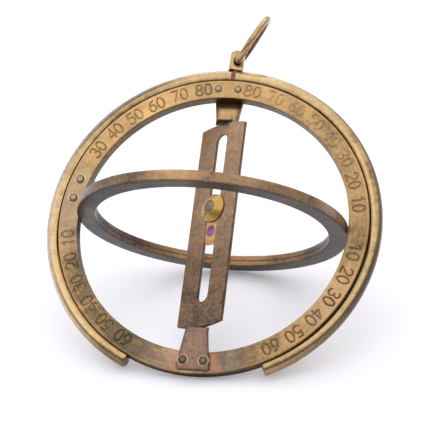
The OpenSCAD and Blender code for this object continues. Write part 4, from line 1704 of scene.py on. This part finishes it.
@dataclass
class Cursor:
    """The slide in the bridge's slot: pierced jewel, knob, stud, back plate and spring."""

    turn_deg: float = -32.5
    stud_z: float = 3.3
    jewel_drop: float = 5.05
    slide_face: float = 0.3
    slide_ease: float = 0.06
    knob_r: float = 3.1
    knob_foot: float = 0.45
    knob_top: float = 1.75
    knob_edge: float = 0.36
    hub_r: float = 1.42
    crater_r: float = 1.62
    well_depth: float = 0.4
    stud_r: float = 1.22
    stud_dome: float = 0.18
    shank_r: float = 0.75
    back_r: float = 2.7
    back_face: float = -0.9
    back_t: float = 0.55
    back_hole_r: float = 0.76
    spring: tuple[Flat, Flat, Flat, Flat] = ((0.8, -0.9), (2.5, -0.63), (2.5, -0.45), (0.8, -0.72))
    jewel_r: float = 1.1
    jewel_t: float = 0.45
    jewel_ease: float = 0.12
    jewel_dish: float = 0.16
    pinhole_r: float = 0.2

    def knob(self) -> Surface:
        """Turns the knob: a hub, a rounded edge, a hollow cone, and a well for the stud's head.

        Returns:
            The knob, with its dirt marked.
        """
        r, low, top, edge = self.knob_r, self.knob_foot, self.knob_top, self.knob_edge
        foot = self.slide_face
        profile = [(1.2, foot), (self.hub_r, foot), (self.hub_r, low), (r - 0.1, low), (r, low + 0.08)]
        profile += [(r, low + 0.2), (r - 0.04, low + 0.29), (r - 0.12, low + edge)]
        for t in np.arange(1, 8) / 8:
            rise = (top - low - edge - 0.04) * (1 - (1 - t) ** 1.35)
            profile.append((r - 0.12 - t * (r - self.crater_r), low + edge + rise))
        profile += [(1.47, top - 0.01), (1.38, top), (1.3, top - 0.03), (1.25, top - 0.12)]
        profile += [(1.24, top - self.well_depth), (0.8, top - self.well_depth)]
        surface = revolve(profile, 96)
        surface.marks[Mark.GRIME] = 0.8 * ramp(surface.polar()[0], 1.3, 1.24)
        return surface

    def stud(self) -> Surface:
        """Turns the stud, with its shank and two heads.

        Returns:
            The stud.
        """
        r, top, dome, shank = self.stud_r, self.knob_top, self.stud_dome, self.shank_r
        seat, back = top - self.well_depth, self.back_face - self.back_t
        profile = [(r * t, top + dome * (1 - t * t)) for t in np.arange(8) / 8]
        profile += [(r - 0.03, top - 0.02), (r, top - 0.08), (r, seat)]
        profile += [(shank, seat), (shank, back), (r, back)]
        profile += [(r * t, back - dome * (1 - t * t)) for t in (0.8, 0.6, 0.4, 0.2, 0.0)]
        return revolve(profile, 64)

    def jewel(self) -> Surface:
        """Turns the pierced jewel, dished towards its hole.

        Returns:
            The jewel.
        """
        top, r, hole, ease = self.slide_face, self.jewel_r, self.pinhole_r, self.jewel_ease
        foot = top - self.jewel_t
        profile = [(r, foot), (r, top - 0.06), (r - 0.05, top - 0.015), (r - ease, top)]
        for t in np.arange(1, 9) / 9:
            profile.append((r - ease - t * (r - ease - hole), top - self.jewel_dish * (1 - (1 - t) ** 2)))
        return revolve([*profile, (hole, top - self.jewel_dish - 0.02), (hole, foot)], 72)

    def jewel_lip(self) -> Surface:
        """Turns the lip that is burnished over the jewel.

        Returns:
            The lip.
        """
        top, r = self.slide_face, self.jewel_r
        corners = [(r, top - 0.05), (r + 0.22, top - 0.05), (r + 0.18, top + 0.035), (r + 0.03, top + 0.02)]
        return revolve(rounded(corners, 0.04), 72)

    def back_plate(self) -> Surface:
        """Returns the round plate behind the bridge."""
        r, hole, face, low = self.back_r, self.back_hole_r, self.back_face, self.back_face - self.back_t
        return revolve(rounded([(hole, face), (r, face), (r, low), (hole, low)], 0.14), 96)

    def build(self, dial: Axes, finishes: Finishes) -> None:
        """Builds the cursor.

        Args:
            dial: The dial's axes.
            finishes: The materials.
        """
        stud = dial.turned(self.turn_deg, "Z").moved(z=self.stud_z).facing_front()
        pinhole = stud.moved(y=-self.jewel_drop)
        eased_node("cursor_slide", Body.CURSOR, Slot.CURSOR, finishes.tongue, self.slide_ease, 0.3)
        spring = revolve(rounded(self.spring, 0.05), 96)
        for node, work, surface, axes, slot, finish in (
            ("cursor_knob", "turned", self.knob(), stud, Slot.CURSOR, finishes.cursor),
            ("cursor_stud", "turned", self.stud(), stud, Slot.STEEL, finishes.steel),
            ("pinhole_jewel", "lapped", self.jewel(), pinhole, Slot.RUBY, finishes.ruby),
            ("jewel_lip", "burnished", self.jewel_lip(), pinhole, Slot.CURSOR, finishes.cursor),
            ("cursor_back_plate", "turned", self.back_plate(), stud, Slot.BRONZED, finishes.bronzed),
            ("cursor_spring", "dished", spring, stud, Slot.CURSOR, finishes.cursor),
        ):
            make_piece(node, work, surface, axes, Body.CURSOR, slot, finish)


@dataclass
class Studio:
    """White paper, soft boxes and the camera."""

    focal_px: float = 1762.57
    distance_mm: float = 366.96
    toward: tuple[float, float, float] = (0.200, -0.909, -0.366)
    right: tuple[float, float, float] = (0.979, 0.168, 0.118)
    centre_px: Flat = (212.50, 223.65)
    sensor_mm: float = 36.0
    clip_m: Flat = (0.01, 20.0)
    paper_half_m: float = 3.0
    paper_sink_mm: float = 0.02
    room: str = "#f6f7fa"
    # Each row is a direction, the range of it over which the light changes, and the light at both ends.
    room_levels: Sequence[tuple[str, float, float, float, float]] = (
        ("Z", 0.0, 0.35, 0.5, 0.85),
        ("Z", 0.6, 0.9, 1.0, 0.3),
        ("Y", -0.9, 0.1, 0.45, 1.0),
        ("X", 0.2, 0.9, 1.0, 0.7),
    )
    window_toward: tuple[float, float, float] = (-0.5, 0.866, 0.0)
    window_edge: Flat = (0.75, 0.97)
    window_top: Flat = (0.1, 0.35)
    window_level: float = 0.7

    def camera(self, dial: Axes) -> None:
        """Sets the camera at the photograph's viewing angle.

        Args:
            dial: The dial's axes.
        """
        toward = Vector(self.toward).normalized()
        right = Vector(self.right)
        right = (right - right.dot(toward) * toward).normalized()
        up = toward.cross(right)
        middle = IMAGE_PX / 2
        aim = -toward + right * ((middle - self.centre_px[0]) / self.focal_px)
        aim += up * ((self.centre_px[1] - middle) / self.focal_px)
        back = -aim.normalized()
        right = (right - right.dot(back) * back).normalized()
        up = back.cross(right)
        turn = dial.matrix.to_3x3().normalized()
        basis = turn @ Matrix((right, up, back)).transposed()
        data = bpy.data.cameras.new("camera")
        data.sensor_width = self.sensor_mm
        data.lens = self.focal_px / IMAGE_PX * self.sensor_mm
        data.clip_start, data.clip_end = self.clip_m
        camera = bpy.data.objects.new("camera", data)
        camera.matrix_world = Matrix.Translation(dial.matrix @ (toward * self.distance_mm)) @ basis.to_4x4()
        bpy.context.scene.collection.objects.link(camera)
        bpy.context.scene.camera = camera

    def soft_box(self, name: str, place: Vector, aim: Vector, size_m: Flat, watts: float, hue: str) -> None:
        """Hangs one soft box.

        Args:
            name: Its name.
            place: Where it hangs, in metres.
            aim: The point that it faces.
            size_m: Width and height.
            watts: Its power.
            hue: Its colour.
        """
        data = bpy.data.lights.new(name, "AREA")
        data.shape = "RECTANGLE"
        data.size, data.size_y = size_m
        data.energy = watts
        data.color = linear(hue)[:3]
        lamp = bpy.data.objects.new(name, data)
        lamp.location = place
        lamp.rotation_euler = (aim - place).to_track_quat("-Z", "Y").to_euler()
        bpy.context.scene.collection.objects.link(lamp)

    def paper(self) -> None:
        """Lays the paper under the dial."""
        mesh = bpy.data.meshes.new("paper")
        half = self.paper_half_m
        corners = [(-half, -half, 0), (half, -half, 0), (half, half, 0), (-half, half, 0)]
        mesh.from_pydata(corners, [], [(0, 1, 2, 3)])
        mesh.materials.append(StudioPaper().build())
        sheet = bpy.data.objects.new("paper", mesh)
        sheet.location.z = -self.paper_sink_mm * MM
        bpy.context.scene.collection.objects.link(sheet)

    def sky(self) -> None:
        """Fills the room with light, dimmer overhead and near the camera, brighter low behind to the left."""
        world = bpy.data.worlds.new("room")
        world.use_nodes = True
        tree = world.node_tree
        tree.nodes.clear()
        output = tree.nodes.new("ShaderNodeOutputWorld")
        add = partial(add_node, tree)
        direction = add("TexCoord", out="Generated")
        parts = {part: add("SeparateXYZ", None, {0: direction}, part) for part in "XYZ"}
        facing = add(
            "VectorMath", {"operation": "DOT_PRODUCT", 1: self.window_toward}, {0: direction}, "Value"
        )
        window, low_down, *levels = (
            add("MapRange", {"From Min": a, "From Max": b, "To Min": start, "To Max": end}, {"Value": value})
            for value, a, b, start, end in (
                (facing, *self.window_edge, 0.0, self.window_level),
                (parts["Z"], *self.window_top, 1.0, 0.0),
                *((parts[part], *rest) for part, *rest in self.room_levels),
            )
        )
        level = levels[0]
        for share in levels[1:]:
            level = add("Math", {"operation": "MULTIPLY"}, {0: share, 1: level})
        level = add("Math", {"operation": "MULTIPLY_ADD"}, {0: window, 1: low_down, 2: level})
        room = add("Background", {"Color": linear(self.room)}, {"Strength": level})
        tree.links.new(room, output.inputs["Surface"])
        bpy.context.scene.world = world

    def build(self, dial: Axes) -> None:
        """Builds the studio.

        Args:
            dial: The dial's axes.
        """
        self.camera(dial)
        self.paper()
        self.sky()
        above, below = Vector((0.0, 0.3, 0.75)), Vector((0.0, 0.3, 0.0))
        self.soft_box("top_box", above, below, (1.5, 2.4), 11.3, "#ffffff")
        left, dial_middle = Vector((-0.9, 0.1, 0.45)), Vector((0.0, 0.0, 0.02))
        self.soft_box("left_box", left, dial_middle, (0.8, 0.6), 0.5, "#fffdf8")
        bpy.context.scene.view_settings.view_transform = "Standard"


def main() -> None:
    """Builds the dial piece by piece, then the studio."""
    logging.basicConfig(level=logging.INFO, format="%(name)s: %(message)s")
    dial = Axes.of_dial()
    finishes = Finishes.made()
    for assembly in (Meridian(), Suspension(), HourRing(), Bridge(), Cursor()):
        assembly.build(dial, finishes)
    Studio().build(dial)


if __name__ == "__main__":
    main()
